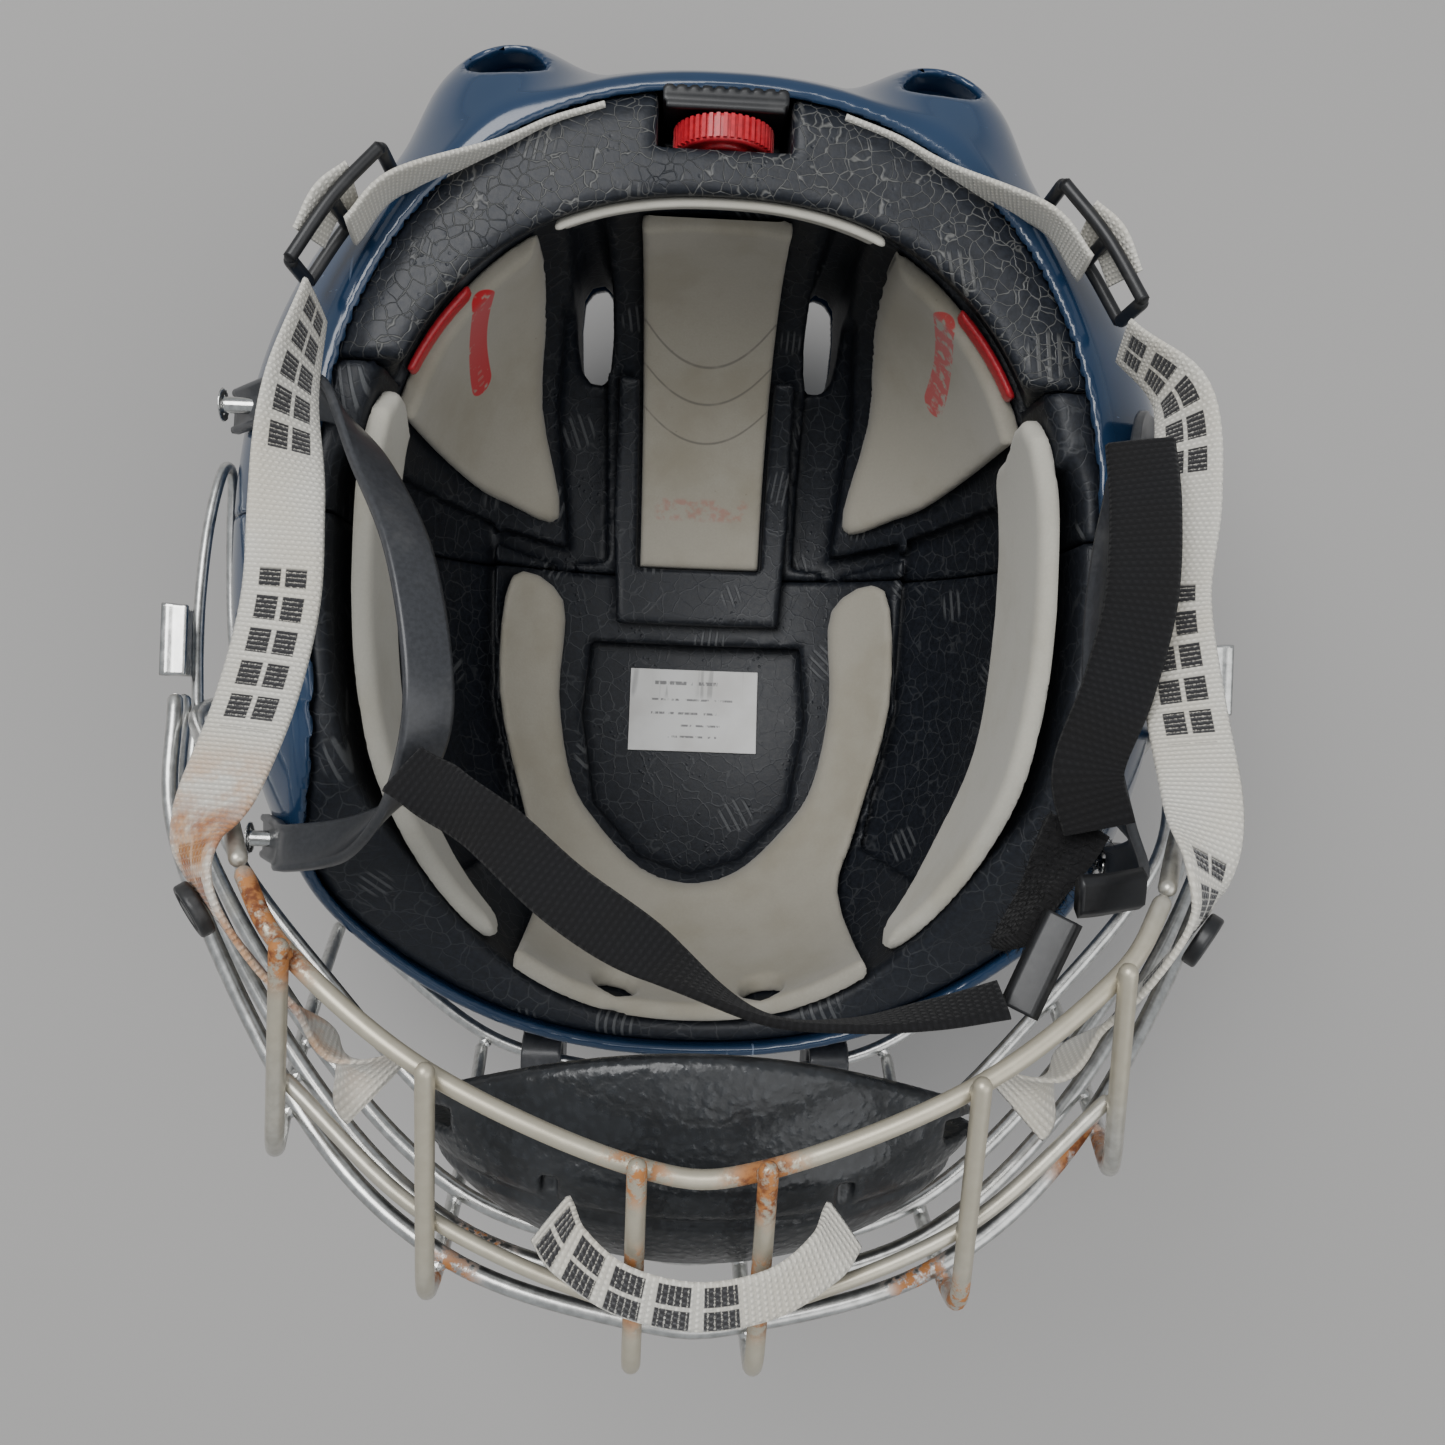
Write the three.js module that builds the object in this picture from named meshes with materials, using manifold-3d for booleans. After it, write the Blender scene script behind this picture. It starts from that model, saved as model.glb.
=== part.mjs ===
// Ice hockey helmet with a wire face cage, lying on its crown with the head opening upwards.
// Millimetres. +Z points out of the head opening, +Y to the back of the helmet, +X to the left ear side
// of the wearer. The origin is on the flat of the crown.
import * as THREE from "three";
import { mergeVertices } from "three/addons/utils/BufferGeometryUtils.js";
import Module from "manifold-3d";

const wasm = await Module();
wasm.setup();

// ---- driving dimensions ----
const GAP = 0.3; // clearance between touching pieces
const CENTRE_Y = 5; // the bowls are widest here
const BELT_Z = 116; // height of the widest belt
const ROUNDNESS = 2.3; // exponent of the bowl's plan and profile
const SHELL = { half: 121, front: 131, back: 124, depth: 119 }; // outer face of the shell
const SHELL_WALL = 3;
const FIT = { half: 80, front: 116, back: 90, depth: 87 }; // faces of the pads that meet the head
const PAD_THICK = 5;
const CHANNEL_DEPTH = 5;
const SPLIT_Y = 12; // the front shell meets the rear shell here
const RIM_Z = 150; // rim at the ears and the nape
const BROW_RIM_Z = 104; // rim over the forehead
const TOP_Z = 165; // cutting height above every rim
const WIRE = 1.75; // radius of the cage wire
const THIN_WIRE = 1.4;
const CAGE_PITCH = WIRE * 2 + GAP; // crossing wires lie side by side at this distance
const WEBBING = 1.2;
const WHITE_WIDTH = 16;

// ---- materials ----
function matte(colour, roughness = 0.8, metalness = 0) {
  return new THREE.MeshStandardMaterial({ color: colour, roughness, metalness });
}
const navy = () => matte(0x233c69, 0.28);
const foamBlack = () => matte(0x14161a, 0.75);
const padGrey = () => matte(0xb8b3a4, 0.85);
const redPlastic = () => matte(0xd0202c, 0.4);
const blackPlastic = () => matte(0x18191b, 0.45);
const smoke = () => matte(0x3c3e42, 0.35);
const steel = () => matte(0xaaaaa6, 0.35, 0.9);
const whiteWeb = () => matte(0xe6e2d8, 0.9);
const blackWeb = () => matte(0x1c1c1f, 0.95);
const labelWhite = () => matte(0xe8e8e6, 0.5);

// ---- solids ----
function solid(geometry) {
  const bare = geometry.clone();
  bare.deleteAttribute("normal");
  bare.deleteAttribute("uv");
  const merged = mergeVertices(bare, 1e-4);
  return new wasm.Manifold(new wasm.Mesh({
    numProp: 3,
    vertProperties: new Float32Array(merged.attributes.position.array),
    triVerts: new Uint32Array(merged.index.array),
  }));
}

function geometryOf(body) {
  const mesh = body.getMesh();
  const geometry = new THREE.BufferGeometry();
  geometry.setAttribute("position", new THREE.BufferAttribute(new Float32Array(mesh.vertProperties), 3));
  geometry.setIndex(new THREE.BufferAttribute(new Uint32Array(mesh.triVerts), 1));
  return geometry;
}

// keeps the largest body of a cut, so that no crumbs are left
function largest(body) {
  const pieces = body.decompose();
  return pieces.reduce((best, piece) => (piece.volume() > best.volume() ? piece : best));
}

const helmet = new THREE.Group();
function add(name, body, material) {
  const geometry = body.isBufferGeometry ? body : geometryOf(largest(body));
  geometry.computeVertexNormals();
  const mesh = new THREE.Mesh(geometry, material);
  mesh.name = name;
  helmet.add(mesh);
  return mesh;
}

function superRadius(angle) {
  const c = Math.abs(Math.cos(angle)) ** ROUNDNESS;
  const s = Math.abs(Math.sin(angle)) ** ROUNDNESS;
  return 1 / (c + s) ** (1 / ROUNDNESS);
}

// A head-shaped bowl: a rounded cup below the belt and a wall above it that leans in by tuck.
function bowl(size, tuck = 0, backTuck = 0, around = 28, rows = 14) {
  const geometry = new THREE.SphereGeometry(1, around, rows);
  const place = geometry.attributes.position;
  for (let i = 0; i < place.count; i += 1) {
    const height = place.getY(i);
    const angle = Math.atan2(-place.getZ(i), place.getX(i));
    let spread = 1;
    let z = BELT_Z;
    if (height < 0) {
      const steep = -height;
      spread = Math.max(0, 1 - steep ** 2) ** (1 / ROUNDNESS);
      z = BELT_Z - size.depth * steep ** (2 / ROUNDNESS);
    } else if (height > 0.8) {
      spread = Math.hypot(place.getX(i), place.getZ(i)) / 0.6;
      z = TOP_Z;
    } else {
      z = BELT_Z + (TOP_Z - BELT_Z) * (height / 0.8);
    }
    const lean = z > BELT_Z ? ((Math.min(z, RIM_Z) - BELT_Z) / (RIM_Z - BELT_Z)) ** 2 : 0;
    const reach = spread * superRadius(angle);
    const forward = Math.sin(angle) < 0;
    const halfX = size.half * (1 - tuck * lean);
    const halfY = forward ? size.front : size.back * (1 - backTuck * lean);
    place.setXYZ(i, halfX * reach * Math.cos(angle), CENTRE_Y + halfY * reach * Math.sin(angle), z);
  }
  return solid(geometry);
}

function grown(size, by, frontBy = by, depthBy = by) {
  return {
    half: size.half + by,
    front: size.front + frontBy,
    back: size.back + by,
    depth: size.depth + depthBy,
  };
}

function outline(points) {
  return new THREE.Shape(points.map(([x, y]) => new THREE.Vector2(x, y)));
}

// a prism over a plan outline
function prism(shape, low, high) {
  const geometry = new THREE.ExtrudeGeometry(shape, { depth: high - low, bevelEnabled: false });
  geometry.translate(0, 0, low);
  return solid(geometry);
}

// a prism across the helmet, over an outline given in Y and Z
function sidePrism(points, left, right) {
  const shape = outline(points);
  const geometry = new THREE.ExtrudeGeometry(shape, { depth: right - left, bevelEnabled: false });
  geometry.rotateX(Math.PI / 2);
  geometry.rotateZ(Math.PI / 2);
  geometry.translate(left, 0, 0);
  return solid(geometry);
}

function block(width, depth, height, x, y, z) {
  const geometry = new THREE.BoxGeometry(width, depth, height);
  geometry.translate(x, y, z);
  return solid(geometry);
}

function ball(rx, ry, rz, x, y, z, around = 20) {
  const geometry = new THREE.SphereGeometry(1, around, around / 2);
  geometry.scale(rx, ry, rz);
  geometry.translate(x, y, z);
  return solid(geometry);
}

// a rod between two points
function rod(radius, from, to, sides = 12) {
  const start = new THREE.Vector3(...from);
  const along = new THREE.Vector3(...to).sub(start);
  const geometry = new THREE.CylinderGeometry(radius, radius, along.length(), sides);
  geometry.translate(0, along.length() / 2, 0);
  geometry.applyQuaternion(new THREE.Quaternion().setFromUnitVectors(
    new THREE.Vector3(0, 1, 0), along.clone().normalize()));
  geometry.translate(start.x, start.y, start.z);
  return solid(geometry);
}

// a wire of round section along a path
function wireAlong(path, radius, steps) {
  const sides = 6;
  const corners = [];
  for (let i = 0; i < sides; i += 1) {
    const angle = (i / sides) * 2 * Math.PI;
    corners.push([radius * Math.cos(angle), radius * Math.sin(angle)]);
  }
  const settings = { steps, bevelEnabled: false, extrudePath: path };
  return solid(new THREE.ExtrudeGeometry(outline(corners), settings));
}

// a wire of round section through points
function wire(points, radius, steps) {
  const route = points.map((p) => new THREE.Vector3(...p));
  return wireAlong(new THREE.CatmullRomCurve3(route, false, "catmullrom", 0.5), radius, steps);
}

// a flat band along points; each point names the direction of the band's width
function band(points, width, thick, steps) {
  const path = new THREE.CatmullRomCurve3(points.map((p) => new THREE.Vector3(p[0], p[1], p[2])));
  const across = new THREE.CatmullRomCurve3(points.map((p) => new THREE.Vector3(p[3], p[4], p[5])));
  const geometry = new THREE.BoxGeometry(1, width, thick, steps, 1, 1);
  const place = geometry.attributes.position;
  for (let i = 0; i < place.count; i += 1) {
    const t = place.getX(i) + 0.5;
    const along = path.getTangent(t);
    const side = across.getPoint(t);
    side.addScaledVector(along, -side.dot(along)).normalize();
    const up = new THREE.Vector3().crossVectors(along, side);
    const spot = path.getPoint(t).addScaledVector(side, place.getY(i)).addScaledVector(up, place.getZ(i));
    place.setXYZ(i, spot.x, spot.y, spot.z);
  }
  return solid(geometry);
}

const flip = ([x, ...rest]) => [-x, ...rest];
const SIDES = [["left", -1], ["right", 1]];

// ---- layers of the helmet ----
const TUCK = 0.2;
const BACK_TUCK = 0.08;
const shellOuter = bowl(SHELL, TUCK, BACK_TUCK);
const shellInner = bowl(grown(SHELL, -SHELL_WALL), TUCK, BACK_TUCK);
const linerOuter = bowl(grown(SHELL, -SHELL_WALL - GAP), TUCK, BACK_TUCK);
const padFace = bowl(FIT);
const padBack = bowl(grown(FIT, PAD_THICK));
const blockFace = bowl(grown(FIT, PAD_THICK + GAP));
const channelFace = bowl(grown(FIT, PAD_THICK + CHANNEL_DEPTH, PAD_THICK + 2, PAD_THICK + CHANNEL_DEPTH + 3));
const padLayer = padBack.subtract(padFace);

const RIM_PROFILE = [
  [160, RIM_Z], [-36, RIM_Z], [-60, 143], [-88, 120], [-110, BROW_RIM_Z + 2], [-150, BROW_RIM_Z - 1],
];
const aboveRim = (drop = 0) => sidePrism(
  [...RIM_PROFILE.map(([y, z]) => [y, z - drop]), [-150, 220], [160, 220]], -160, 160);
const belowFloor = block(400, 400, 100, 0, 0, -50);

// ---- where the straps and screws pass through the shell and the foam ----
const STRAP_REAR_WIDTH = 13;
// a place just inside the shell's rim; the angle is measured from the helmet's left
function insideRim(degrees, z) {
  const angle = THREE.MathUtils.degToRad(degrees);
  const reach = superRadius(angle);
  const half = (SHELL.half - SHELL_WALL) * (1 - TUCK) - 1.6;
  const back = (SHELL.back - SHELL_WALL) * (1 - BACK_TUCK) - 1.6;
  return [half * reach * Math.cos(angle), CENTRE_Y + back * reach * Math.sin(angle), z, 0, 0, 1];
}
const STRAP_REAR = [
  insideRim(72, 145), insideRim(64, 145.5), insideRim(56, 148),
  [75.5, 86.5, 156.5, 0, 0, 1], [85, 74, 159, 0, 0.1, 1],
];
function strapRear(side, width = STRAP_REAR_WIDTH, thick = WEBBING) {
  const points = STRAP_REAR.map(([x, y, z, a, b, c]) => [side * x, y, z, side * a, b, c]);
  return band(points, width, thick, 12);
}
// distance of the shell's outer face from the middle plane, at a place given by Y and Z
function shellReach(y, z) {
  const low = Math.max(0, BELT_Z - z) / SHELL.depth;
  const level = (1 - low ** ROUNDNESS) ** (1 / ROUNDNESS);
  const lean = z > BELT_Z ? ((Math.min(z, RIM_Z) - BELT_Z) / (RIM_Z - BELT_Z)) ** 2 : 0;
  const half = SHELL.half * (1 - TUCK * lean) * level;
  const run = (y < CENTRE_Y ? SHELL.front : SHELL.back * (1 - BACK_TUCK * lean)) * level;
  return half * (1 - (Math.abs(y - CENTRE_Y) / run) ** ROUNDNESS) ** (1 / ROUNDNESS);
}
// Y of the shell's front face, at a place given by X and Z
function shellFront(x, z) {
  const low = Math.max(0, BELT_Z - z) / SHELL.depth;
  const level = (1 - low ** ROUNDNESS) ** (1 / ROUNDNESS);
  return CENTRE_Y - SHELL.front * level * (1 - (Math.abs(x) / (SHELL.half * level)) ** ROUNDNESS) ** (1 / ROUNDNESS);
}


const LOOP_THICK = 2.2;
const LOOP_REAR = { y: 38, z: 136 };
const LOOP_FRONT = { y: -68, z: 130 };
const SCREW = { head: 5, headThick: 1.2, shank: 2, hole: 2.4, reach: 9 };
const drill = (from, to) => rod(SCREW.hole, from, to, 8);
function loopHoles() {
  return SIDES.flatMap(([, side]) => [LOOP_REAR, LOOP_FRONT].map(
    ({ y, z }) => drill([side * 84, y, z], [side * 125, y, z])));
}
function strapGrooves() {
  return SIDES.map(([, side]) => strapRear(side, STRAP_REAR_WIDTH + 1, WEBBING + 0.9));
}
const THROUGH_CUTS = [...loopHoles(), ...strapGrooves()].reduce((sum, cut) => sum.add(cut));

// ---- shells ----
const HORN = { x: 52, y: 104, z: 116, rx: 27, ry: 32, rz: 31 };
function horn(side) {
  const bulge = ball(HORN.rx, HORN.ry, HORN.rz, side * HORN.x, HORN.y, HORN.z, 16);
  return bulge.subtract(shellInner);
}
function hornVent(side) {
  const hole = outline([[44, 123], [50, 121], [61, 121.5], [64, 125], [57, 130], [49, 130]].map(([x, y]) => [side * x, y]));
  return prism(hole, 122, 160);
}
function crownPanel() {
  const geometry = new THREE.SphereGeometry(1, 20, 10);
  const place = geometry.attributes.position;
  const square = 5;
  for (let i = 0; i < place.count; i += 1) {
    const x = place.getX(i);
    const y = place.getY(i);
    const z = place.getZ(i);
    const reach = (Math.abs(x) ** square + Math.abs(y) ** square + Math.abs(z) ** square) ** (-1 / square);
    place.setXYZ(i, 42 * x * reach, -24 - 76 * z * reach, 60 + 63 * y * reach);
  }
  return solid(geometry).subtract(shellInner);
}
function roofVents() {
  let cuts = block(0.1, 0.1, 0.1, 0, 0, 300);
  for (const side of [-1, 1]) {
    const slot = outline([[30, 73], [39, 73], [39, 96], [30, 98]].map(([x, y]) => [side * x, y]));
    cuts = cuts.add(prism(slot, 20, 116));
  }
  return cuts;
}
const ROOF_VENTS = roofVents();
const wholeShell = shellOuter.subtract(shellInner)
  .add(crownPanel())
  .add(horn(-1))
  .add(horn(1))
  .subtract(aboveRim())
  .subtract(belowFloor)
  .subtract(hornVent(-1))
  .subtract(hornVent(1))
  .subtract(ROOF_VENTS)
  .subtract(THROUGH_CUTS);
add("front_shell", wholeShell.subtract(block(400, 400, 500, 0, SPLIT_Y + 200, 100)), navy());
add("rear_shell", wholeShell.subtract(block(400, 400, 500, 0, SPLIT_Y + GAP - 200, 100)), navy());

// ---- foam liner ----
const mirrored = (points, side) => points.map(([x, y]) => [side * x, y]);
const BOTH = [-1, 1];
function linerBody() {
  let body = linerOuter.subtract(blockFace).subtract(aboveRim(1));
  const floor = (points) => prism(outline(points), 10, TOP_Z).intersect(channelFace);
  // the recess at the forehead end, the two side channels and the channels beside the crown block
  body = body.subtract(floor([[-34, -10], [34, -10], [36, -34], [31, -62], [16, -78], [0, -83],
    [-16, -78], [-31, -62], [-36, -34]]));
  for (const side of BOTH) {
    body = body.subtract(floor(mirrored([[64, 24], [86, 30], [96, 12], [96, -20], [84, -52], [66, -80],
      [52, -72], [62, -30]], side)));
    body = body.subtract(floor(mirrored([[30, 16], [42, 14], [46, 60], [43, 84], [31, 86]], side)));
    body = body.subtract(floor(mirrored([[40, 12], [64, 18], [62, 23], [40, 19]], side)));
  }
  return body.subtract(ROOF_VENTS).subtract(THROUGH_CUTS);
}
const liner = linerBody();
const BAND_LOW_Z = 124;
const BAND_START_Y = 48;
const bandSpace = block(400, 200, 100, 0, BAND_START_Y + 100 - GAP, BAND_LOW_Z + 50 - GAP);
add("liner_front", liner.subtract(block(400, 400, 500, 0, SPLIT_Y + 200 - GAP, 100)), foamBlack());
add("liner_rear", liner.subtract(block(400, 400, 500, 0, SPLIT_Y - 200, 100)).subtract(bandSpace), foamBlack());

// the band overhangs: its face leans in towards the rim
const BAND_FACE = { half: 88, front: 96, back: 94.5, depth: 96 };
const BAND_TUCK = 0.085;
const BAND_BACK_TUCK = 0.114;
const NOTCH = { half: 16, near: 101, far: 122.5, low: 123 };
function rearBand() {
  const inner = bowl(BAND_FACE, BAND_TUCK, BAND_BACK_TUCK);
  const blank = linerOuter.subtract(inner)
    .intersect(block(400, 200, 100, 0, BAND_START_Y + 100, BAND_LOW_Z + 50))
    .subtract(aboveRim(-1));
  const notch = block(NOTCH.half * 2, NOTCH.far - NOTCH.near, 60, 0, (NOTCH.far + NOTCH.near) / 2, NOTCH.low + 30);
  return blank.subtract(notch).subtract(THROUGH_CUTS);
}
add("liner_rear_band", rearBand(), foamBlack());

// ---- comfort pads ----
function pad(name, points, low, high) {
  add(name, padLayer.intersect(prism(outline(points), low, high)).subtract(aboveRim(3)), padGrey());
}
const CROWN_BLOCK = [[-27, 70], [27, 70], [28, 30], [26, -4], [-26, -4], [-28, 30]];
function crownBlock() {
  const lift = bowl(grown(FIT, PAD_THICK)).subtract(bowl(grown(FIT, -1)));
  const seat = bowl(grown(FIT, PAD_THICK + 1)).subtract(bowl(grown(FIT, -3)));
  const padPocket = prism(outline([[-21.2, 100], [21.2, 100], [20, 14], [-20, 14]]), 10, TOP_Z);
  const outer = lift.intersect(prism(outline(CROWN_BLOCK), 10, 100));
  return outer.subtract(seat.intersect(padPocket));
}
add("crown_block", crownBlock().subtract(ROOF_VENTS), foamBlack());
pad("crown_pad", [[-20, 100], [20, 100], [19, 14.6], [-19, 14.6]], 10, 112);
for (const [name, side] of SIDES) {
  pad(`rear_pad_${name}`, mirrored([[45, 28], [60, 30], [70, 34], [84, 46], [90, 62], [70, 100], [46, 100],
    [47, 84], [50, 59]], side), 30, 122);
}
pad("forehead_pad", [[-43, 2], [-58, 8], [-60, -28], [-50, -66], [-44, -84], [-46, -110], [-20, -140], [20, -140],
  [46, -110], [44, -84], [50, -66], [60, -28], [58, 8], [43, 2], [43, -28], [38, -54], [29, -68], [15, -81],
  [0, -85], [-15, -81], [-29, -68], [-38, -54], [-43, -28]], 10, 112);
// the lower edge of the pad hangs at this height in the middle
const SIDE_PAD_LOW = { left: 112, right: 101 };
function sidePad(side, low) {
  const profile = [[37, 118], [37, 145], [-38, 145], [-62, 136], [-92, 112], [-91, 102], [-66, low - 6],
    [-40, low], [-14, low], [20, low + 3], [34, low + 6]];
  const from = side < 0 ? -120 : 52;
  return padLayer.intersect(sidePrism(profile, from, from + 68)).subtract(aboveRim(3)).subtract(bandSpace);
}
for (const [name, side] of SIDES) add(`side_pad_${name}`, sidePad(side, SIDE_PAD_LOW[name]), padGrey());

const LABEL = { half: 21, front: -45, back: -18 };
function sizeLabel() {
  const sheet = channelFace.subtract(bowl(grown(FIT, PAD_THICK + CHANNEL_DEPTH - 0.5, PAD_THICK + 1.5,
    PAD_THICK + CHANNEL_DEPTH + 2.5)));
  const plan = outline([[-LABEL.half, LABEL.front], [LABEL.half, LABEL.front], [LABEL.half, LABEL.back],
    [-LABEL.half, LABEL.back]]);
  const body = sheet.intersect(prism(plan, 10, 80));
  return body.translate([0, 0, GAP]);
}
add("size_label", sizeLabel(), labelWhite());

function napePad() {
  const back = bowl(grown(BAND_FACE, -GAP), BAND_TUCK, BAND_BACK_TUCK);
  const face = bowl(grown(BAND_FACE, -3), BAND_TUCK, BAND_BACK_TUCK);
  const span = outline([[-40, 60], [40, 60], [40, 110], [-40, 110]]);
  return back.subtract(face).intersect(prism(span, 124, 147));
}
add("nape_pad", napePad(), padGrey());

// ---- fit adjuster ----
const DIAL = { y: 106, z: 140, radius: 12.3, thick: 6.4 };
function dial() {
  const body = rod(DIAL.radius, [0, DIAL.y - DIAL.thick / 2, DIAL.z], [0, DIAL.y + DIAL.thick / 2, DIAL.z], 28);
  return body.subtract(rod(2.8, [0, 90, DIAL.z], [0, 120, DIAL.z]));
}
add("adjuster_dial", dial(), redPlastic());
function adjusterHousing() {
  const back = block(30, 3.7, 25, 0, DIAL.y + 7.6, DIAL.z - 1.5);
  const floor = block(30, 14, 2.4, 0, DIAL.y + 2.4, DIAL.z - 14.5);
  const pin = rod(2.5, [0, DIAL.y - 4.4, DIAL.z], [0, DIAL.y + 7, DIAL.z]);
  return back.add(floor).add(pin);
}
add("adjuster_housing", adjusterHousing(), blackPlastic());
function occipitalArm(side) {
  const outerFace = bowl({ half: 85.2, front: 90, back: 90.6, depth: 90 });
  const innerFace = bowl({ half: 83.4, front: 90, back: 88.8, depth: 90 });
  const plan = mirrored([[45, 110], [45, 50], [90, 50], [90, 110]], side);
  return outerFace.subtract(innerFace).intersect(prism(outline(plan), 123.5, 132));
}
for (const [name, side] of SIDES) add(`occipital_arm_${name}`, occipitalArm(side), redPlastic());

// ---- ear loops with their screws ----
const tabX = ({ y, z }, drop = 0) => shellReach(y + (y < 0 ? 3 : -4), z - drop) + 2.7;
const TAB_DROP = 8;
const LOOP_START = [
  [tabX(LOOP_REAR, TAB_DROP), LOOP_REAR.y, LOOP_REAR.z - TAB_DROP, 0, 1, 0],
  [tabX(LOOP_REAR, -TAB_DROP) + 1, LOOP_REAR.y, LOOP_REAR.z + TAB_DROP, 0, 1, 0],
];
const LOOP_END = [
  [tabX(LOOP_FRONT, -TAB_DROP) + 1, LOOP_FRONT.y, LOOP_FRONT.z + TAB_DROP, 0, -1, 0],
  [tabX(LOOP_FRONT, TAB_DROP), LOOP_FRONT.y, LOOP_FRONT.z - TAB_DROP, 0, -1, 0],
];
// the free part of each loop: the left one has fallen inwards, the right one stands on edge
const EAR_LOOP = {
  left: [
    ...LOOP_START, [97, 38, 154, 0.1, 0.9, 0.2], [86, 33, 159, 0.4, 0.6, 0.5], [75.5, 18, 168, 0.7, 0.2, 0.5],
    [65.7, 0, 178, 0.75, 0.1, 0.5], [60, -22, 184, 0.75, 0.1, 0.5], [59.5, -39, 184, 0.75, -0.1, 0.5],
    [66, -54, 176, 0.6, -0.5, 0.5], [79, -64, 163, 0.3, -0.8, 0.3], [96, -68, 152, 0.1, -0.9, 0.2], ...LOOP_END,
  ],
  right: [
    ...LOOP_START, [101, 37, 153, 0.1, 0.9, 0.2], [95.5, 29, 160, 0.2, 0.5, 0.8], [92, 20, 168, 0.2, 0.1, 1],
    [86.8, 3, 177, 0.2, 0, 1], [83.8, -16, 183, 0.2, 0, 1], [85.5, -36, 182, 0.2, 0, 1],
    [93, -52, 173, 0.2, -0.3, 1], [102, -63, 161, 0.1, -0.8, 0.5], ...LOOP_END,
  ],
};
function screw(from, to) {
  const axis = new THREE.Vector3(...to).sub(new THREE.Vector3(...from)).normalize();
  const at = (distance) => new THREE.Vector3(...from).addScaledVector(axis, distance).toArray();
  const shank = rod(SCREW.shank, at(SCREW.headThick / 2), at(SCREW.reach), 6);
  return rod(SCREW.head, from, at(SCREW.headThick), 10).add(shank);
}
const screwSeat = (spot) => tabX(spot, SCREW.head) + LOOP_THICK / 2 + GAP * 3 + SCREW.headThick;
function earLoop(name, side) {
  const points = EAR_LOOP[name].map(([x, y, z, a, b, c]) => [side * x, y, z, side * a, side * b, side * c]);
  const holes = [LOOP_REAR, LOOP_FRONT].map(({ y, z }) => drill([side * 85, y, z], [side * 125, y, z]));
  return band(points, 11, LOOP_THICK, 18).subtract(holes[0]).subtract(holes[1]);
}
function loopScrew(side, spot) {
  const x = screwSeat(spot);
  return screw([side * x, spot.y, spot.z], [side * (x - 10), spot.y, spot.z]);
}
for (const [name, side] of SIDES) {
  add(`ear_loop_${name}`, earLoop(name, side), smoke());
  add(`ear_screw_rear_${name}`, loopScrew(side, LOOP_REAR), steel());
  add(`ear_screw_front_${name}`, loopScrew(side, LOOP_FRONT), steel());
}

// ---- cage wires ----
// Each upright runs along the chin shelf, turns down at the bend and ends on the brow bar.
const UPRIGHTS = {
  outer: { top: [73.2, -74.5, 241], bend: [78, -118, 221], belly: [90, -112, 160], brow: [97.5, -95.5, 88] },
  middle: { top: [46.9, -93.5, 247], bend: [48.6, -141, 227], belly: [52, -147, 160], brow: [57, -128, 88] },
  inner: { top: [11, -108, 249], bend: [11, -152, 231], belly: [11.5, -158, 160], brow: [13, -138, 88] },
};
const toward = (from, to, distance) => {
  const start = new THREE.Vector3(...from);
  const way = new THREE.Vector3(...to).sub(start).normalize();
  return start.addScaledVector(way, distance);
};
function uprightPath({ top, bend, belly, brow }, side = 1) {
  const turn = 7;
  const spots = [top, bend, belly, brow].map((p) => (side < 0 ? flip(p) : p));
  const before = toward(spots[1], spots[0], turn);
  const after = toward(spots[1], spots[2], turn);
  const path = new THREE.CurvePath();
  path.add(new THREE.LineCurve3(new THREE.Vector3(...spots[0]), before));
  path.add(new THREE.QuadraticBezierCurve3(before, new THREE.Vector3(...spots[1]), after));
  path.add(new THREE.QuadraticBezierCurve3(after, new THREE.Vector3(...spots[2]), new THREE.Vector3(...spots[3])));
  return path;
}
for (const [place, upright] of Object.entries(UPRIGHTS)) {
  for (const [name, side] of SIDES) {
    add(`cage_upright_${place}_${name}`, wireAlong(uprightPath(upright, side), WIRE, 16), steel());
  }
}
// the place where an upright stands at a height, on its straight or bellied run
function uprightAt({ bend, belly, brow }, z) {
  const start = toward(bend, belly, 7);
  const run = new THREE.QuadraticBezierCurve3(start, new THREE.Vector3(...belly), new THREE.Vector3(...brow));
  let low = 0;
  let high = 1;
  for (let i = 0; i < 30; i += 1) {
    const middle = (low + high) / 2;
    if (run.getPoint(middle).z > z) low = middle;
    else high = middle;
  }
  return run.getPoint(low);
}
const FACE_CENTRE = new THREE.Vector3(0, -30, 0);
function insideOf(upright, z) {
  const spot = uprightAt(upright, z);
  const inward = FACE_CENTRE.clone().sub(spot).setZ(0).normalize();
  return spot.addScaledVector(inward, CAGE_PITCH).toArray();
}
// the place on the chin shelf of an upright, a little under the wire
function underShelf({ top, bend }, y, below) {
  const t = (y - top[1]) / (bend[1] - top[1]);
  return [top[0] + (bend[0] - top[0]) * t, y, top[2] + (bend[2] - top[2]) * t - below];
}
const bothSides = (points) => [...points.map(flip), ...points.slice().reverse()];
const { outer, middle, inner } = UPRIGHTS;

const CHIN_BAR_END = [84, -64, 228];
const chinBar = bothSides([CHIN_BAR_END, underShelf(outer, -77.5, CAGE_PITCH + 0.6),
  underShelf(middle, -96.5, CAGE_PITCH + 0.6), underShelf(inner, -111, CAGE_PITCH + 0.6)]);
add("cage_chin_bar", wire(chinBar, WIRE, 24), steel());

const SHELF_DROP = WIRE + THIN_WIRE + GAP + 0.2;
const shelfBar = bothSides([underShelf(outer, -102, SHELF_DROP), underShelf(middle, -125, SHELF_DROP),
  underShelf(inner, -139.5, SHELF_DROP)]);
add("cage_shelf_bar", wire(shelfBar, THIN_WIRE, 18), steel());

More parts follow.
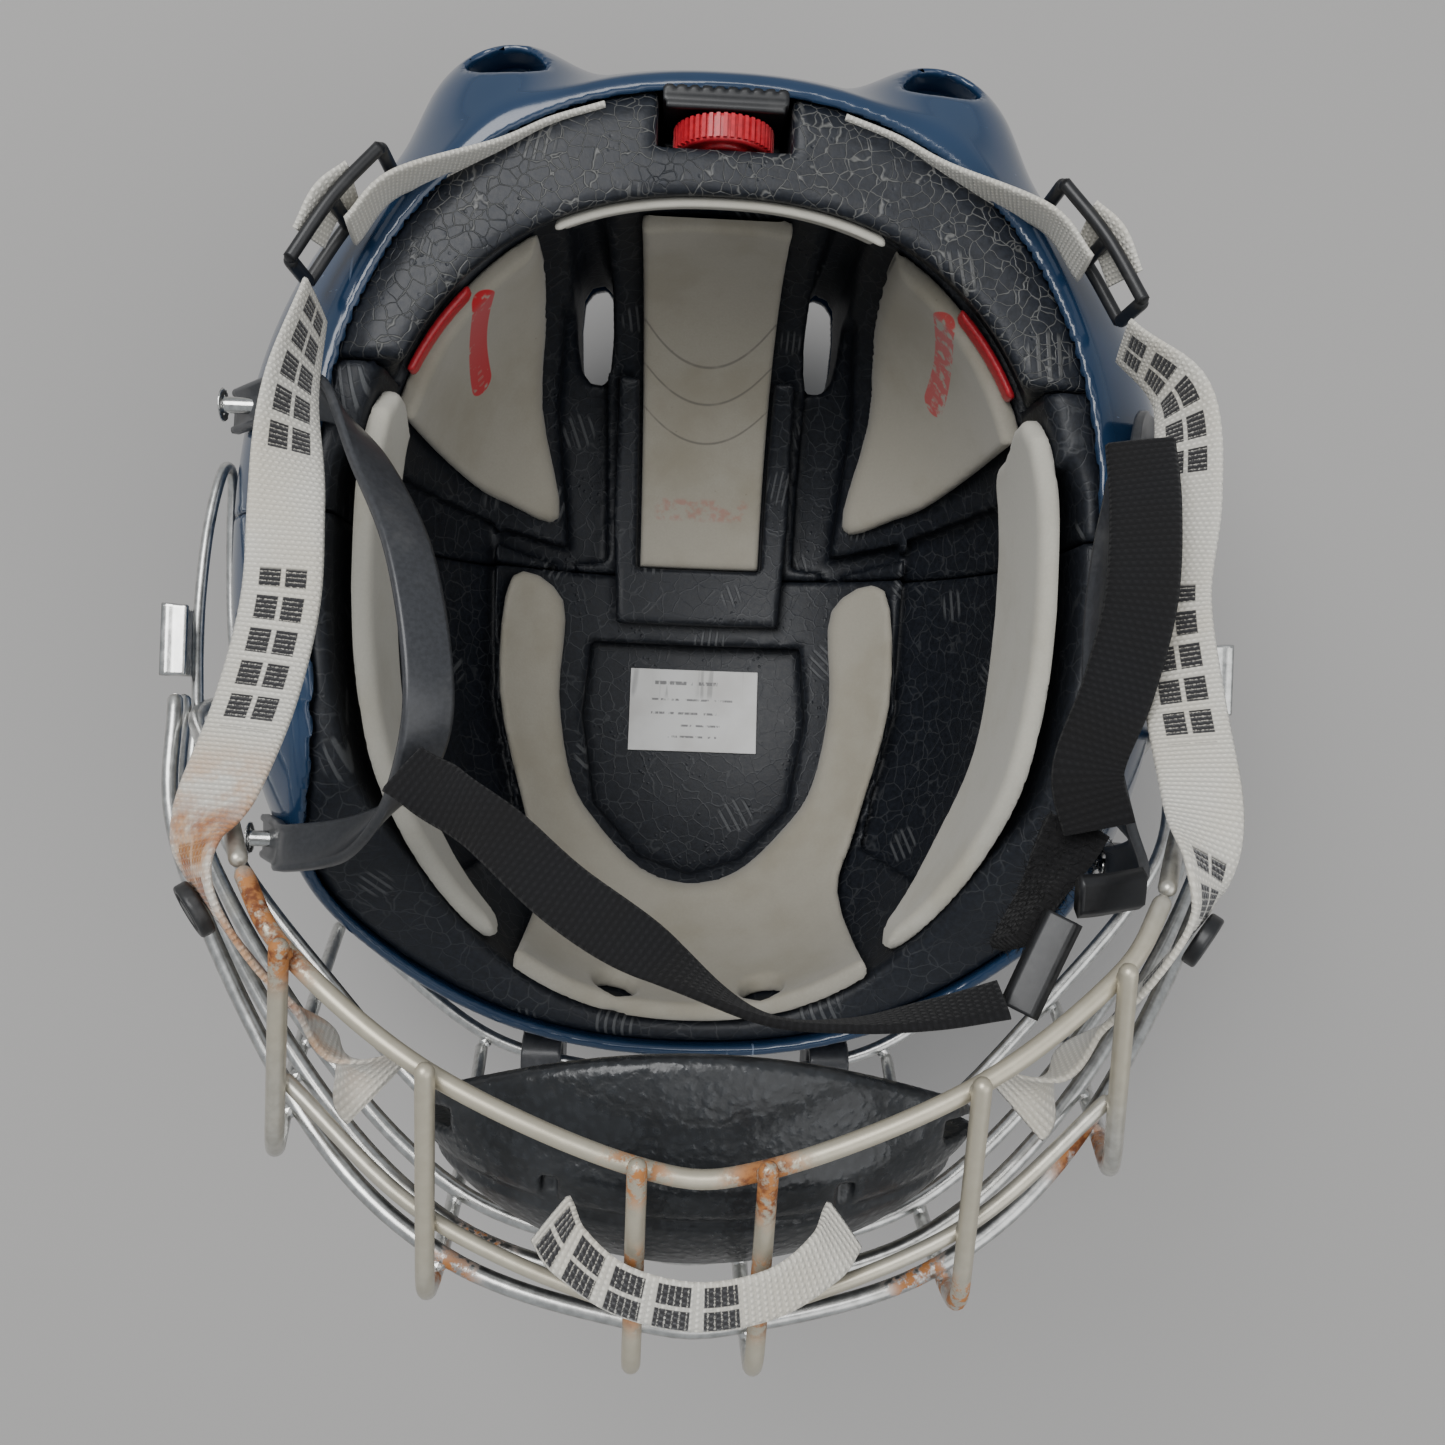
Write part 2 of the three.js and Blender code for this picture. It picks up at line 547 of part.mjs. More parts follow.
// the side frame goes from the chin bar's end down past the temple to the brow bar's end
const SIDE_FRAME = [
  [84.4, -63.4, 227.2], [92, -55, 211], [103, -46, 188], [113, -40, 166], [118.5, -37, 148], [120.5, -35, 128],
  [120.6, -36, 110], [116.8, -52, 96], [110, -68, 90.5], [103.6, -78.6, 88.6],
];
const SIDE_LOOP = [
  [121, -37, 142], [124.5, -15, 133], [125, 8, 127], [123.8, 24, 121], [123.8, 24, 113], [125, 8, 108],
  [124.5, -15, 106], [121, -36.5, 108],
];
function sideFrame(side) {
  const turned = (points) => (side < 0 ? points.map(flip) : points);
  return wire(turned(SIDE_FRAME), WIRE, 20).add(wire(turned(SIDE_LOOP), THIN_WIRE, 18));
}
for (const [name, side] of SIDES) add(`cage_side_frame_${name}`, sideFrame(side), steel());

const browEnd = [102.6, -80.6, 88];
const browBar = bothSides([browEnd, insideOf(outer, 89), insideOf(middle, 89), insideOf(inner, 89)]);
add("cage_brow_bar", wire(browBar, WIRE, 26), steel());

const FACE_BARS = [{ front: 215, side: 160 }, { front: 197, side: 145 }, { front: 179, side: 130 }, { front: 146, side: 114 }];
const sideFrameX = (z) => (z > 150 ? 116 : z > 140 ? 119.2 : 121);
FACE_BARS.forEach(({ front, side }, index) => {
  const end = [sideFrameX(side) + CAGE_PITCH + 0.3, -33, side];
  const bar = bothSides([end, [sideFrameX(side) - 1.5, -66, side + 11], insideOf(outer, front - 13),
    insideOf(middle, front - 3), insideOf(inner, front)]);
  add(`cage_face_bar_${index + 1}`, wire(bar, WIRE, 26), steel());
});

// ---- clips that hold the cage to the shell ----
const BROW_CLIP_X = 40;
function browBarAt(x) {
  const route = browBar.map((p) => new THREE.Vector3(...p));
  const path = new THREE.CatmullRomCurve3(route, false, "catmullrom", 0.5);
  let low = 0;
  let high = 0.5;
  for (let i = 0; i < 30; i += 1) {
    const t = (low + high) / 2;
    if (path.getPoint(t).x < x) low = t;
    else high = t;
  }
  return path.getPoint(low);
}
const BAR_IN_CLIP = browBarAt(-BROW_CLIP_X);
const CLIP = { width: 11, hole: 3.9, wall: 2.6, low: 68 };
function browClip(side) {
  const face = shellFront(BROW_CLIP_X, BAR_IN_CLIP.z) - 0.6;
  const nose = BAR_IN_CLIP.y - CLIP.hole - CLIP.wall;
  const top = BAR_IN_CLIP.z + CLIP.hole + CLIP.wall;
  const body = block(CLIP.width, 16, top - CLIP.low, side * BROW_CLIP_X, nose + 8, (top + CLIP.low) / 2);
  const seat = bowl(grown(SHELL, GAP), TUCK, BACK_TUCK);
  const barHole = rod(CLIP.hole, [side * 20, BAR_IN_CLIP.y, BAR_IN_CLIP.z], [side * 60, BAR_IN_CLIP.y, BAR_IN_CLIP.z], 12);
  const mouth = block(CLIP.width + 2, CLIP.hole * 2, 24, side * BROW_CLIP_X, BAR_IN_CLIP.y, BAR_IN_CLIP.z - 12);
  const hook = body.subtract(barHole).subtract(seat);
  const opened = hook.subtract(mouth.intersect(block(60, 8, 8, side * BROW_CLIP_X, BAR_IN_CLIP.y - 3, CLIP.low + 2)));
  return opened.subtract(drill([side * BROW_CLIP_X, face - 30, 76], [side * BROW_CLIP_X, face + 30, 76]));
}
function browScrew(side) {
  const head = BAR_IN_CLIP.y - CLIP.hole - CLIP.wall - SCREW.headThick - GAP;
  return screw([side * BROW_CLIP_X, head, 76], [side * BROW_CLIP_X, head + 20, 76]);
}
for (const [name, side] of SIDES) {
  add(`brow_clip_${name}`, browClip(side), smoke());
  add(`brow_screw_${name}`, browScrew(side), steel());
}

// side clip: a sprung plate that turns on the side loop's wire and hooks over a post on the shell
const SIDE_CLIP = { x: 129, y: -20, width: 17, low: 116, high: 143, thick: 1.6 };
function sideClip(side) {
  const plate = block(SIDE_CLIP.thick, SIDE_CLIP.width, SIDE_CLIP.high - SIDE_CLIP.low, side * SIDE_CLIP.x,
    SIDE_CLIP.y, (SIDE_CLIP.high + SIDE_CLIP.low) / 2);
  const lip = block(6, SIDE_CLIP.width, SIDE_CLIP.thick, side * (SIDE_CLIP.x - 2.2), SIDE_CLIP.y, SIDE_CLIP.high);
  const slot = block(8, 8, 7, side * SIDE_CLIP.x, SIDE_CLIP.y, 121.5);
  return plate.add(lip).subtract(slot);
}
for (const [name, side] of SIDES) add(`side_clip_${name}`, sideClip(side), steel());

// ---- white elastic straps ----
// both front straps end alike: round the chin bar's end and in under the outer upright to the cup
const strapEnd = (side) => [
  [94, -60, 221.5, 0.7, 0.2, -0.7], [92.5, -68, 222.5, 0.6, 0.3, -0.75], [86, -79, 220.5, 0.6, 0.5, -0.5],
  [77, -90.5, 217.5, 0.7, 0.7, 0], [67, -101, 215, 0.7, 0.7, 0.1], [61, -107.5, 213.5, 0.7, 0.65, 0.2],
].map(([x, y, z, a, b, c]) => [side * x, y, z, side * a, b, c]);
const STRAP_FRONT_LEFT = [
  [-91.5, 57, 162, -0.1, 0.1, 1], [-93.5, 34, 171, -0.5, 0, 0.8], [-91.6, 9.3, 179, -0.9, 0, 0.35],
  [-89.6, -12.9, 188, -1, 0, 0.2], [-90.2, -33.9, 201, -1, 0, 0.1], [-92, -51, 216, -0.95, 0.1, -0.2], ...strapEnd(-1),
];
const STRAP_FRONT_RIGHT = [
  [94, 57, 161, 0.1, 0.1, 1], [105.2, 42, 168.5, 0.5, 0, 0.8], [104, 18, 176.5, 0.8, 0, 0.5], [99, -5, 185, 0.85, 0, 0.5],
  [97.8, -27, 197, 0.85, 0, 0.4], [96.3, -46, 212, 0.95, 0.1, 0], ...strapEnd(1),
];
for (const [name, side] of SIDES) add(`strap_rear_${name}`, strapRear(side), whiteWeb());
add("strap_front_left", band(STRAP_FRONT_LEFT, WHITE_WIDTH, WEBBING, 20), whiteWeb());
add("strap_front_right", band(STRAP_FRONT_RIGHT, WHITE_WIDTH, WEBBING, 20), whiteWeb());
// the snap sits on the outer face of the front strap, where it turns in
function strapSnap(side) {
  const seat = new THREE.Vector3(side * 93, -72, 218);
  const out = new THREE.Vector3(side * 0.766, -0.492, 0.412);
  const at = (distance) => seat.clone().addScaledVector(out, distance).toArray();
  return rod(5.5, at(0.9), at(3.7), 16);
}
for (const [name, side] of SIDES) add(`strap_snap_${name}`, strapSnap(side), blackPlastic());

// the three-bar slide through which the strap is folded
const SLIDE = [[77.5, 92.5, 155, 0, 0, 1], [87.5, 79, 158, 0, 0.05, 1], [96.5, 63.5, 159.5, 0.05, 0.1, 1]];
const SLIDE_WINDOW = { width: 16, length: 0.26, starts: [0.14, 0.58] };
function strapSlide(side) {
  const at = SLIDE.map(([x, y, z, a, b, c]) => [side * x, y, z, side * a, b, c]);
  const path = new THREE.CatmullRomCurve3(at.map(([x, y, z]) => new THREE.Vector3(x, y, z)));
  const window = (from) => {
    const ends = [from, from + SLIDE_WINDOW.length / 2, from + SLIDE_WINDOW.length].map((t) => path.getPoint(t));
    return band(ends.map((p) => [p.x, p.y, p.z, 0, 0.05, 1]), SLIDE_WINDOW.width, 8, 2);
  };
  const [near, far] = SLIDE_WINDOW.starts;
  return band(at, 20, 2.6, 8).subtract(window(near)).subtract(window(far));
}
for (const [name, side] of SIDES) add(`strap_slide_${name}`, strapSlide(side), blackPlastic());

// ---- chin cup ----
const CUP = { x: 0, y: -98, z: 203, rx: 59, ry: 43, rz: 34, wall: 5, back: -93, bow: 0.0042 };
function chinCup() {
  const outerBody = ball(CUP.rx, CUP.ry, CUP.rz, CUP.x, CUP.y, CUP.z, 20);
  const hollow = ball(CUP.rx - CUP.wall, CUP.ry - CUP.wall, CUP.rz - CUP.wall, CUP.x, CUP.y, CUP.z - 2, 16);
  const slope = [[CUP.back, 260], [CUP.back - 2, 215], [-112, 180], [-112, 150], [-20, 150], [-20, 260]];
  // the rim that meets the chin is bowed, its ends further forward
  const rim = [];
  for (let x = -70; x <= 70; x += 14) rim.push([x, CUP.back - CUP.bow * x ** 2]);
  const behind = prism(outline([...rim, [70, 0], [-70, 0]]), 150, 260);
  const under = block(200, 200, 60, 0, -100, 156);
  return outerBody.subtract(hollow).subtract(sidePrism(slope, -80, 80)).subtract(behind).subtract(under);
}
add("chin_cup", chinCup(), foamBlack());
const CUP_STRAP = [
  [-27, -124.5, 234, -0.1, 1, 0.5], [-23, -126, 240, -0.1, 1, 0.4], [-13, -131, 245.2, 0, 1, 0.4],
  [0, -133, 246.2, 0, 1, 0.4], [13, -131, 245.2, 0, 1, 0.4], [23, -126, 240, 0.1, 1, 0.4],
  [27, -124.5, 234, 0.1, 1, 0.5],
];
add("chin_cup_strap", band(CUP_STRAP, 11, 1.1, 16), whiteWeb());

// ---- black chin strap and its buckle ----
const CHIN_STRAP = [
  [-63, -47, 190, 0.6, -0.55, 0.3], [-54, -52, 192.5, 0.5, -0.7, 0.3], [-42, -59, 199, 0.45, -0.8, 0.3],
  [-27, -70.5, 205.5, 0.45, -0.8, 0.35], [-8, -81, 213, 0.35, -0.6, 0.6], [11, -90.6, 216.8, 0, 0.1, 1],
  [28, -91.6, 217.5, 0, 0.1, 1], [44, -89, 217.5, -0.1, -0.2, 1], [57, -85.5, 218.8, -0.2, -0.4, 0.9],
];
add("chin_strap_left", band(CHIN_STRAP, 13, 1.6, 22), blackWeb());
const EAR_STRAP = [
  [93, 30, 178, 0.9, 0.4, 0.1], [92, 14, 186, 0.9, 0.2, 0.3], [89, -6, 194, 0.9, 0, 0.4], [84, -25, 196.5, 0.85, 0, 0.4],
  [78, -42, 197.5, 0.8, 0, 0.5], [80, -54, 200, 0.8, 0, 0.5],
];
add("chin_strap_right", band(EAR_STRAP, 15, 1.6, 14), blackWeb());
const FLEECE = [[79, -54, 189, 0.8, 0.1, 0.5], [72, -66, 192, 0.6, 0.5, 0.4], [63, -78, 198, 0.5, 0.6, 0.4]];
add("chin_strap_sleeve", band(FLEECE, 15, 3.4, 8), blackWeb());
const BUCKLE = [[61.5, -89, 212.5, 0.85, -0.35, 0.3], [66, -79, 212, 0.85, -0.35, 0.3], [70, -70.5, 211.5, 0.85, -0.35, 0.3]];
add("buckle_body", band(BUCKLE, 8, 2.6, 8), blackPlastic());
const LEVER = [[73, -66.5, 211, 0.3, 0.9, 0.1], [79, -66, 209.5, 0.3, 0.9, 0.1], [87, -65, 206, 0.2, 0.9, 0.1]];
add("buckle_lever", band(LEVER, 9, 3, 8), blackPlastic());

export default helmet;
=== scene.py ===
"""Ice hockey helmet with a wire face cage, built round its fixed frame as a set of helmet-making tools."""

import math

import bpy
import numpy as np
from bpy.props import FloatProperty, FloatVectorProperty, IntProperty, PointerProperty
from mathutils import Matrix, Vector


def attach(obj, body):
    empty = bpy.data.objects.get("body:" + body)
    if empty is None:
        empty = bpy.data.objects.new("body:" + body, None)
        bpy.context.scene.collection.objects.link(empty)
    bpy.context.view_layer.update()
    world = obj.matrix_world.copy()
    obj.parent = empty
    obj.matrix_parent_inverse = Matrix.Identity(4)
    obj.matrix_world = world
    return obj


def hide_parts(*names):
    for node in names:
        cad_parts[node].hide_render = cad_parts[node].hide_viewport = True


bl_info = {
    "name": "Hockey Helmet Maker",
    "version": (1, 0, 0),
    "blender": (4, 5, 0),
    "location": "3D View > Sidebar > Helmet",
    "description": "Makes the foam, shell, wire, webbing and fittings of an ice hockey helmet",
    "category": "Object",
}

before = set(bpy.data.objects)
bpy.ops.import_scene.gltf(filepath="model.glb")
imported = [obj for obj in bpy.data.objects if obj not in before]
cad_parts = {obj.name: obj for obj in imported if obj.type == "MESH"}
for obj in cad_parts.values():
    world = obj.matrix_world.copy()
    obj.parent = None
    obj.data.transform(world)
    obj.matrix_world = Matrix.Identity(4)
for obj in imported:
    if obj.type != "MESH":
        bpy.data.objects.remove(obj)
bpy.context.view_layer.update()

# ---------------------------------------------------------------------------
# Driving dimensions, in millimetres unless said otherwise
# ---------------------------------------------------------------------------
MM = 0.001
CENTRE_Y = 5.0
BELT_Z = 116.0
ROUNDNESS = 2.3
RIM_Z = 150.0
TUCK = 0.2
BACK_TUCK = 0.08
SHELL = {"half": 121.0, "front": 131.0, "back": 124.0, "depth": 119.0}
FIT = {"half": 80.0, "front": 116.0, "back": 90.0, "depth": 87.0}
BAND_FACE = {"half": 88.0, "front": 96.0, "back": 94.5, "depth": 96.0}
BAND_TUCK = 0.085
BAND_BACK_TUCK = 0.114
SHELL_WALL = 3.0
LEAN_ALLOWANCE = 2.0
PAD_THICK = 5.0
RIM_PROFILE = [(-150, 103), (-110, 106), (-88, 120), (-60, 143), (-36, 150), (160, 150)]
WIRE = 1.75
THIN_WIRE = 1.4
SIDES = (("left", -1), ("right", 1))


# ---------------------------------------------------------------------------
# Solid fields: each gives roughly the distance to a surface, negative inside
# ---------------------------------------------------------------------------
def grown(size, by, front_by=None, depth_by=None):
    """A bowl's sizes, moved outwards."""
    return {
        "half": size["half"] + by,
        "front": size["front"] + (by if front_by is None else front_by),
        "back": size["back"] + by,
        "depth": size["depth"] + (by if depth_by is None else depth_by),
    }


def bowl(size, x, y, z, tuck=0.0, back_tuck=0.0):
    """Distance to a head-shaped bowl whose wall above the belt leans in by tuck."""
    lean = np.clip((z - BELT_Z) / (RIM_Z - BELT_Z), 0, 1.1) ** 2
    half = size["half"] * (1 - tuck * lean)
    run = np.where(y < CENTRE_Y, size["front"], size["back"] * (1 - back_tuck * lean))
    low = np.maximum(BELT_Z - z, 0) / size["depth"]
    across = np.abs(x) / half
    along = np.abs(y - CENTRE_Y) / run
    total = across**ROUNDNESS + along**ROUNDNESS + low**ROUNDNESS + 1e-9
    reach = total ** (1 / ROUNDNESS)
    steep = ROUNDNESS - 1
    slope = reach ** (1 - ROUNDNESS) * np.sqrt(
        (across**steep / half) ** 2 + (along**steep / run) ** 2 + (low**steep / size["depth"]) ** 2 + 1e-12
    )
    return (reach - 1) / np.maximum(slope, 0.004)


def both(a, b, round_by=0.0):
    """The overlap of two solids, its edge rounded."""
    if round_by <= 0:
        return np.maximum(a, b)
    near = np.maximum(round_by - np.abs(a - b), 0) / round_by
    return np.maximum(a, b) + near * near * round_by / 4


def either(a, b, round_by=0.0):
    """Two solids joined, the inner corner filled."""
    return -both(-a, -b, round_by)


def rim_height(y):
    """Height of the rim, softened at its corners."""
    ys = [p[0] for p in RIM_PROFILE]
    zs = [p[1] for p in RIM_PROFILE]
    return sum(np.interp(y + d, ys, zs) for d in np.linspace(-14, 14, 9)) / 9


def above_rim(y, z, drop=0.0):
    return (z - rim_height(y) + drop) * 0.86


def outline(points, x, y):
    """Distance to a closed outline in the plan."""
    distance = np.full(np.broadcast_shapes(np.shape(x), np.shape(y)), 1e9)
    inside = np.zeros(distance.shape, bool)
    for (ax, ay), (bx, by) in zip(points, points[1:] + points[:1]):
        ex, ey = bx - ax, by - ay
        t = np.clip(((x - ax) * ex + (y - ay) * ey) / (ex * ex + ey * ey), 0, 1)
        distance = np.minimum(distance, np.hypot(x - ax - t * ex, y - ay - t * ey))
        crosses = ((ay > y) != (by > y)) & (x < ex * (y - ay) / (ey if ey else 1e-9) + ax)
        inside ^= crosses
    return np.where(inside, -distance, distance)


def smooth_loop(points, cuts=6):
    """A closed outline rounded through its points."""
    ring = [Vector((p[0], p[1])) for p in points]
    loop = []
    count = len(ring)
    for i in range(count):
        a, b, c, d = (ring[(i + k - 1) % count] for k in range(4))
        for j in range(cuts):
            t = j / cuts
            point = 0.5 * (2 * b + (c - a) * t + (2 * a - 5 * b + 4 * c - d) * t * t
                           + (3 * b - a - 3 * c + d) * t**3)
            loop.append((point.x, point.y))
    return loop


def mirrored(points, side):
    return [(side * x, y) for x, y in points]


def ball(centre, radii, x, y, z):
    scaled = np.sqrt(((x - centre[0]) / radii[0]) ** 2 + ((y - centre[1]) / radii[1]) ** 2
                     + ((z - centre[2]) / radii[2]) ** 2 + 1e-9)
    return (scaled - 1) * min(radii)


def box(centre, half, x, y, z):
    return np.maximum(np.maximum(np.abs(x - centre[0]) - half[0], np.abs(y - centre[1]) - half[1]),
                      np.abs(z - centre[2]) - half[2])


def rod_along_x(centre_y, centre_z, radius, y, z):
    return np.hypot(y - centre_y, z - centre_z) - radius


# ---------------------------------------------------------------------------
# Meshes
# ---------------------------------------------------------------------------
def new_object(name, vertices, faces, material, smooth=True, uvs=None):
    """An object at the origin from vertices in millimetres."""
    mesh = bpy.data.meshes.new(name)
    faces = faces if isinstance(faces, list) else faces.tolist()
    mesh.from_pydata((np.asarray(vertices) * MM).tolist(), [], faces)
    if uvs is not None:
        layer = mesh.uv_layers.new(name="UVMap")
        loops = np.empty(len(mesh.loops), np.int32)
        mesh.loops.foreach_get("vertex_index", loops)
        layer.data.foreach_set("uv", np.asarray(uvs, np.float32)[loops].ravel())
    mesh.polygons.foreach_set("use_smooth", [smooth] * len(mesh.polygons))
    mesh.materials.append(material)
    mesh.update()
    made = bpy.data.objects.new(name, mesh)
    bpy.context.scene.collection.objects.link(made)
    return made


def skin_of(field, low, high, step):
    """Vertices and quads of the surface where a field is zero, found cell by cell on a grid."""
    axes = [np.arange(a, b + step, step) for a, b in zip(low, high)]
    grids = np.meshgrid(*axes, indexing="ij", sparse=True)
    shape = tuple(len(a) for a in axes)
    values = np.broadcast_to(field(*grids), shape).astype(np.float32)
    inside = values < 0
    cells = tuple(n - 1 for n in shape)
    total = np.zeros(cells + (3,), np.float32)
    count = np.zeros(cells, np.int8)
    part = (slice(None, -1), slice(1, None))
    for axis in range(3):
        others = [a for a in range(3) if a != axis]
        for u in (0, 1):
            for v in (0, 1):
                pick = [None] * 3
                pick[others[0]], pick[others[1]] = part[u], part[v]
                pick[axis] = part[0]
                start = values[tuple(pick)]
                pick[axis] = part[1]
                end = values[tuple(pick)]
                cross = (start < 0) != (end < 0)
                t = np.where(cross, start / np.where(cross, start - end, 1), 0)
                total[..., axis] += t
                total[..., others[0]] += np.where(cross, u, 0)
                total[..., others[1]] += np.where(cross, v, 0)
                count += cross
    used = np.argwhere(count > 0)
    number = np.full(cells, -1, np.int64)
    number[tuple(used.T)] = np.arange(len(used))
    spots = total[tuple(used.T)] / count[tuple(used.T)][:, None]
    vertices = (used + spots) * step + np.array([a[0] for a in axes])
    quads = []
    for axis in range(3):
        others = [(axis + 1) % 3, (axis + 2) % 3]
        first = [slice(None)] * 3
        second = [slice(None)] * 3
        first[axis], second[axis] = part
        for other in others:
            first[other] = second[other] = slice(1, -1)
        a, b = inside[tuple(first)], inside[tuple(second)]
        for want, order in ((a & ~b, (0, 1, 2, 3)), (~a & b, (3, 2, 1, 0))):
            base = np.argwhere(want)
            corners = []
            for du, dv in ((0, 0), (1, 0), (1, 1), (0, 1)):
                cell = base.copy()
                cell[:, others[0]] += du
                cell[:, others[1]] += dv
                corners.append(number[tuple(cell.T)])
            quads.append(np.stack([corners[k] for k in order], 1))
    return vertices, np.concatenate(quads)


def settle(field, vertices, step, rounds=2):
    """Moves vertices onto the field's surface."""
    h = step * 0.2
    for _ in range(rounds):
        x, y, z = vertices.T
        value = field(x, y, z)
        slope = np.stack([
            field(x + h, y, z) - field(x - h, y, z),
            field(x, y + h, z) - field(x, y - h, z),
            field(x, y, z + h) - field(x, y, z - h),
        ], 1) / (2 * h)
        size = np.maximum((slope**2).sum(1), 0.15)
        vertices = vertices - slope * np.clip(value / size, -step * 0.6, step * 0.6)[:, None]
    return vertices


def moulded(name, field, low, high, step, material, rounds=2):
    """A moulded solid from its field."""
    vertices, quads = skin_of(field, low, high, step)
    return new_object(name, settle(field, vertices, step, rounds), quads, material)


def through(points, steps):
    """Evenly spread points and values on a smooth curve through rows of numbers."""
    rows = np.asarray(points, float)
    padded = np.vstack([2 * rows[0] - rows[1], rows, 2 * rows[-1] - rows[-2]])
    fine = []
    for i in range(len(rows) - 1):
        a, b, c, d = padded[i:i + 4]
        for t in np.linspace(0, 1, 24, endpoint=False):
            fine.append(0.5 * (2 * b + (c - a) * t + (2 * a - 5 * b + 4 * c - d) * t * t
                               + (3 * b - a - 3 * c + d) * t**3))
    fine.append(rows[-1])
    fine = np.array(fine)
    run = np.concatenate([[0], np.cumsum(np.linalg.norm(np.diff(fine[:, :3], axis=0), axis=1))])
    spread = np.linspace(0, run[-1], steps + 1)
    return np.stack([np.interp(spread, run, fine[:, k]) for k in range(fine.shape[1])], 1), spread


def sweep(name, points, section, material, steps, closed_ends=True):
    """A section, given across and up, swept along points that each name the across direction.

    The UV map holds the distance along and across in metres.
    """
    route, run = through(points, steps)
    spots = route[:, :3]
    along = np.gradient(spots, axis=0)
    along /= np.linalg.norm(along, axis=1)[:, None]
    side = route[:, 3:6]
    side = side - along * (side * along).sum(1)[:, None]
    side /= np.linalg.norm(side, axis=1)[:, None]
    up = np.cross(along, side)
    section = np.asarray(section, float)
    count = len(section)
    rings = spots[:, None] + side[:, None] * section[None, :, :1] + up[:, None] * section[None, :, 1:]
    vertices = rings.reshape(-1, 3)
    faces = []
    for i in range(len(spots) - 1):
        for j in range(count):
            k = (j + 1) % count
            faces.append([i * count + j, i * count + k, (i + 1) * count + k, (i + 1) * count + j])
    if closed_ends:
        faces.append(list(range(count))[::-1])
        faces.append(list(range((len(spots) - 1) * count, len(spots) * count)))
    uvs = np.stack([np.repeat(run, count), np.tile(section[:, 0], len(spots))], 1) * MM
    made = new_object(name, vertices, faces, material, uvs=uvs)
    return made


def round_section(radius, sides=14):
    angles = np.linspace(0, 2 * math.pi, sides, endpoint=False)
    return [(radius * math.cos(a), radius * math.sin(a)) for a in angles]


def strap_section(width, thick, bulge=0.25, cells=10):
    """Webbing's section: flat faces and softly rounded selvedges."""
    top = [(x, thick / 2 * (1 + bulge * math.cos(math.pi * x / width)))
           for x in np.linspace(-width / 2 + thick / 2, width / 2 - thick / 2, cells)]
    edge = [(width / 2, 0.0)]
    bottom = [(x, -h) for x, h in reversed(top)]
    return top[::-1] + [(-width / 2, 0.0)] + bottom[::-1] + edge


def wire(name, points, radius, material, steps=80):
    """A round wire whose across direction is carried along without twist, ends rounded."""
    route, _ = through([tuple(p) for p in points], steps)
    along = np.gradient(route, axis=0)
    along /= np.linalg.norm(along, axis=1)[:, None]
    side = np.cross(along[0], (0.3, 0.2, 0.93))
    side /= np.linalg.norm(side)
    sides = []
    for way in along:
        side = side - way * side.dot(way)
        side /= np.linalg.norm(side)
        sides.append(side)
    sides = np.array(sides)
    ups = np.cross(along, sides)
    ring = np.array(round_section(1.0, 14))
    caps = [(-0.95, 0.3), (-0.7, 0.72), (-0.3, 0.95)]
    rows = [(route[0] + along[0] * (radius * (1 + a)), sides[0], ups[0], b * radius) for a, b in caps]
    rows += [(route[i], sides[i], ups[i], radius) for i in range(1, len(route) - 1)]
    rows += [(route[-1] - along[-1] * (radius * (1 + a)), sides[-1], ups[-1], b * radius)
             for a, b in caps[::-1]]
    count = len(ring)
    vertices = np.concatenate([c + r * (ring[:, :1] * s + ring[:, 1:] * u) for c, s, u, r in rows])
    faces = []
    for i in range(len(rows) - 1):
        for j in range(count):
            k = (j + 1) % count
            faces.append([i * count + j, i * count + k, (i + 1) * count + k, (i + 1) * count + j])
    faces.append(list(range(count))[::-1])
    faces.append(list(range((len(rows) - 1) * count, len(rows) * count)))
    return new_object(name, vertices, faces, material)


def joined(name, objects):
    """Several meshes as one object."""
    vertices, faces = [], []
    offset = 0
    first = objects[0]
    for item in objects:
        co = np.empty(len(item.data.vertices) * 3, np.float32)
        item.data.vertices.foreach_get("co", co)
        vertices.append(co.reshape(-1, 3) / MM)
        faces += [[v + offset for v in p.vertices] for p in item.data.polygons]
        offset += len(item.data.vertices)
    made = new_object(name, np.concatenate(vertices), faces, first.data.materials[0])
    for item in objects:
        bpy.data.objects.remove(item)
    return made


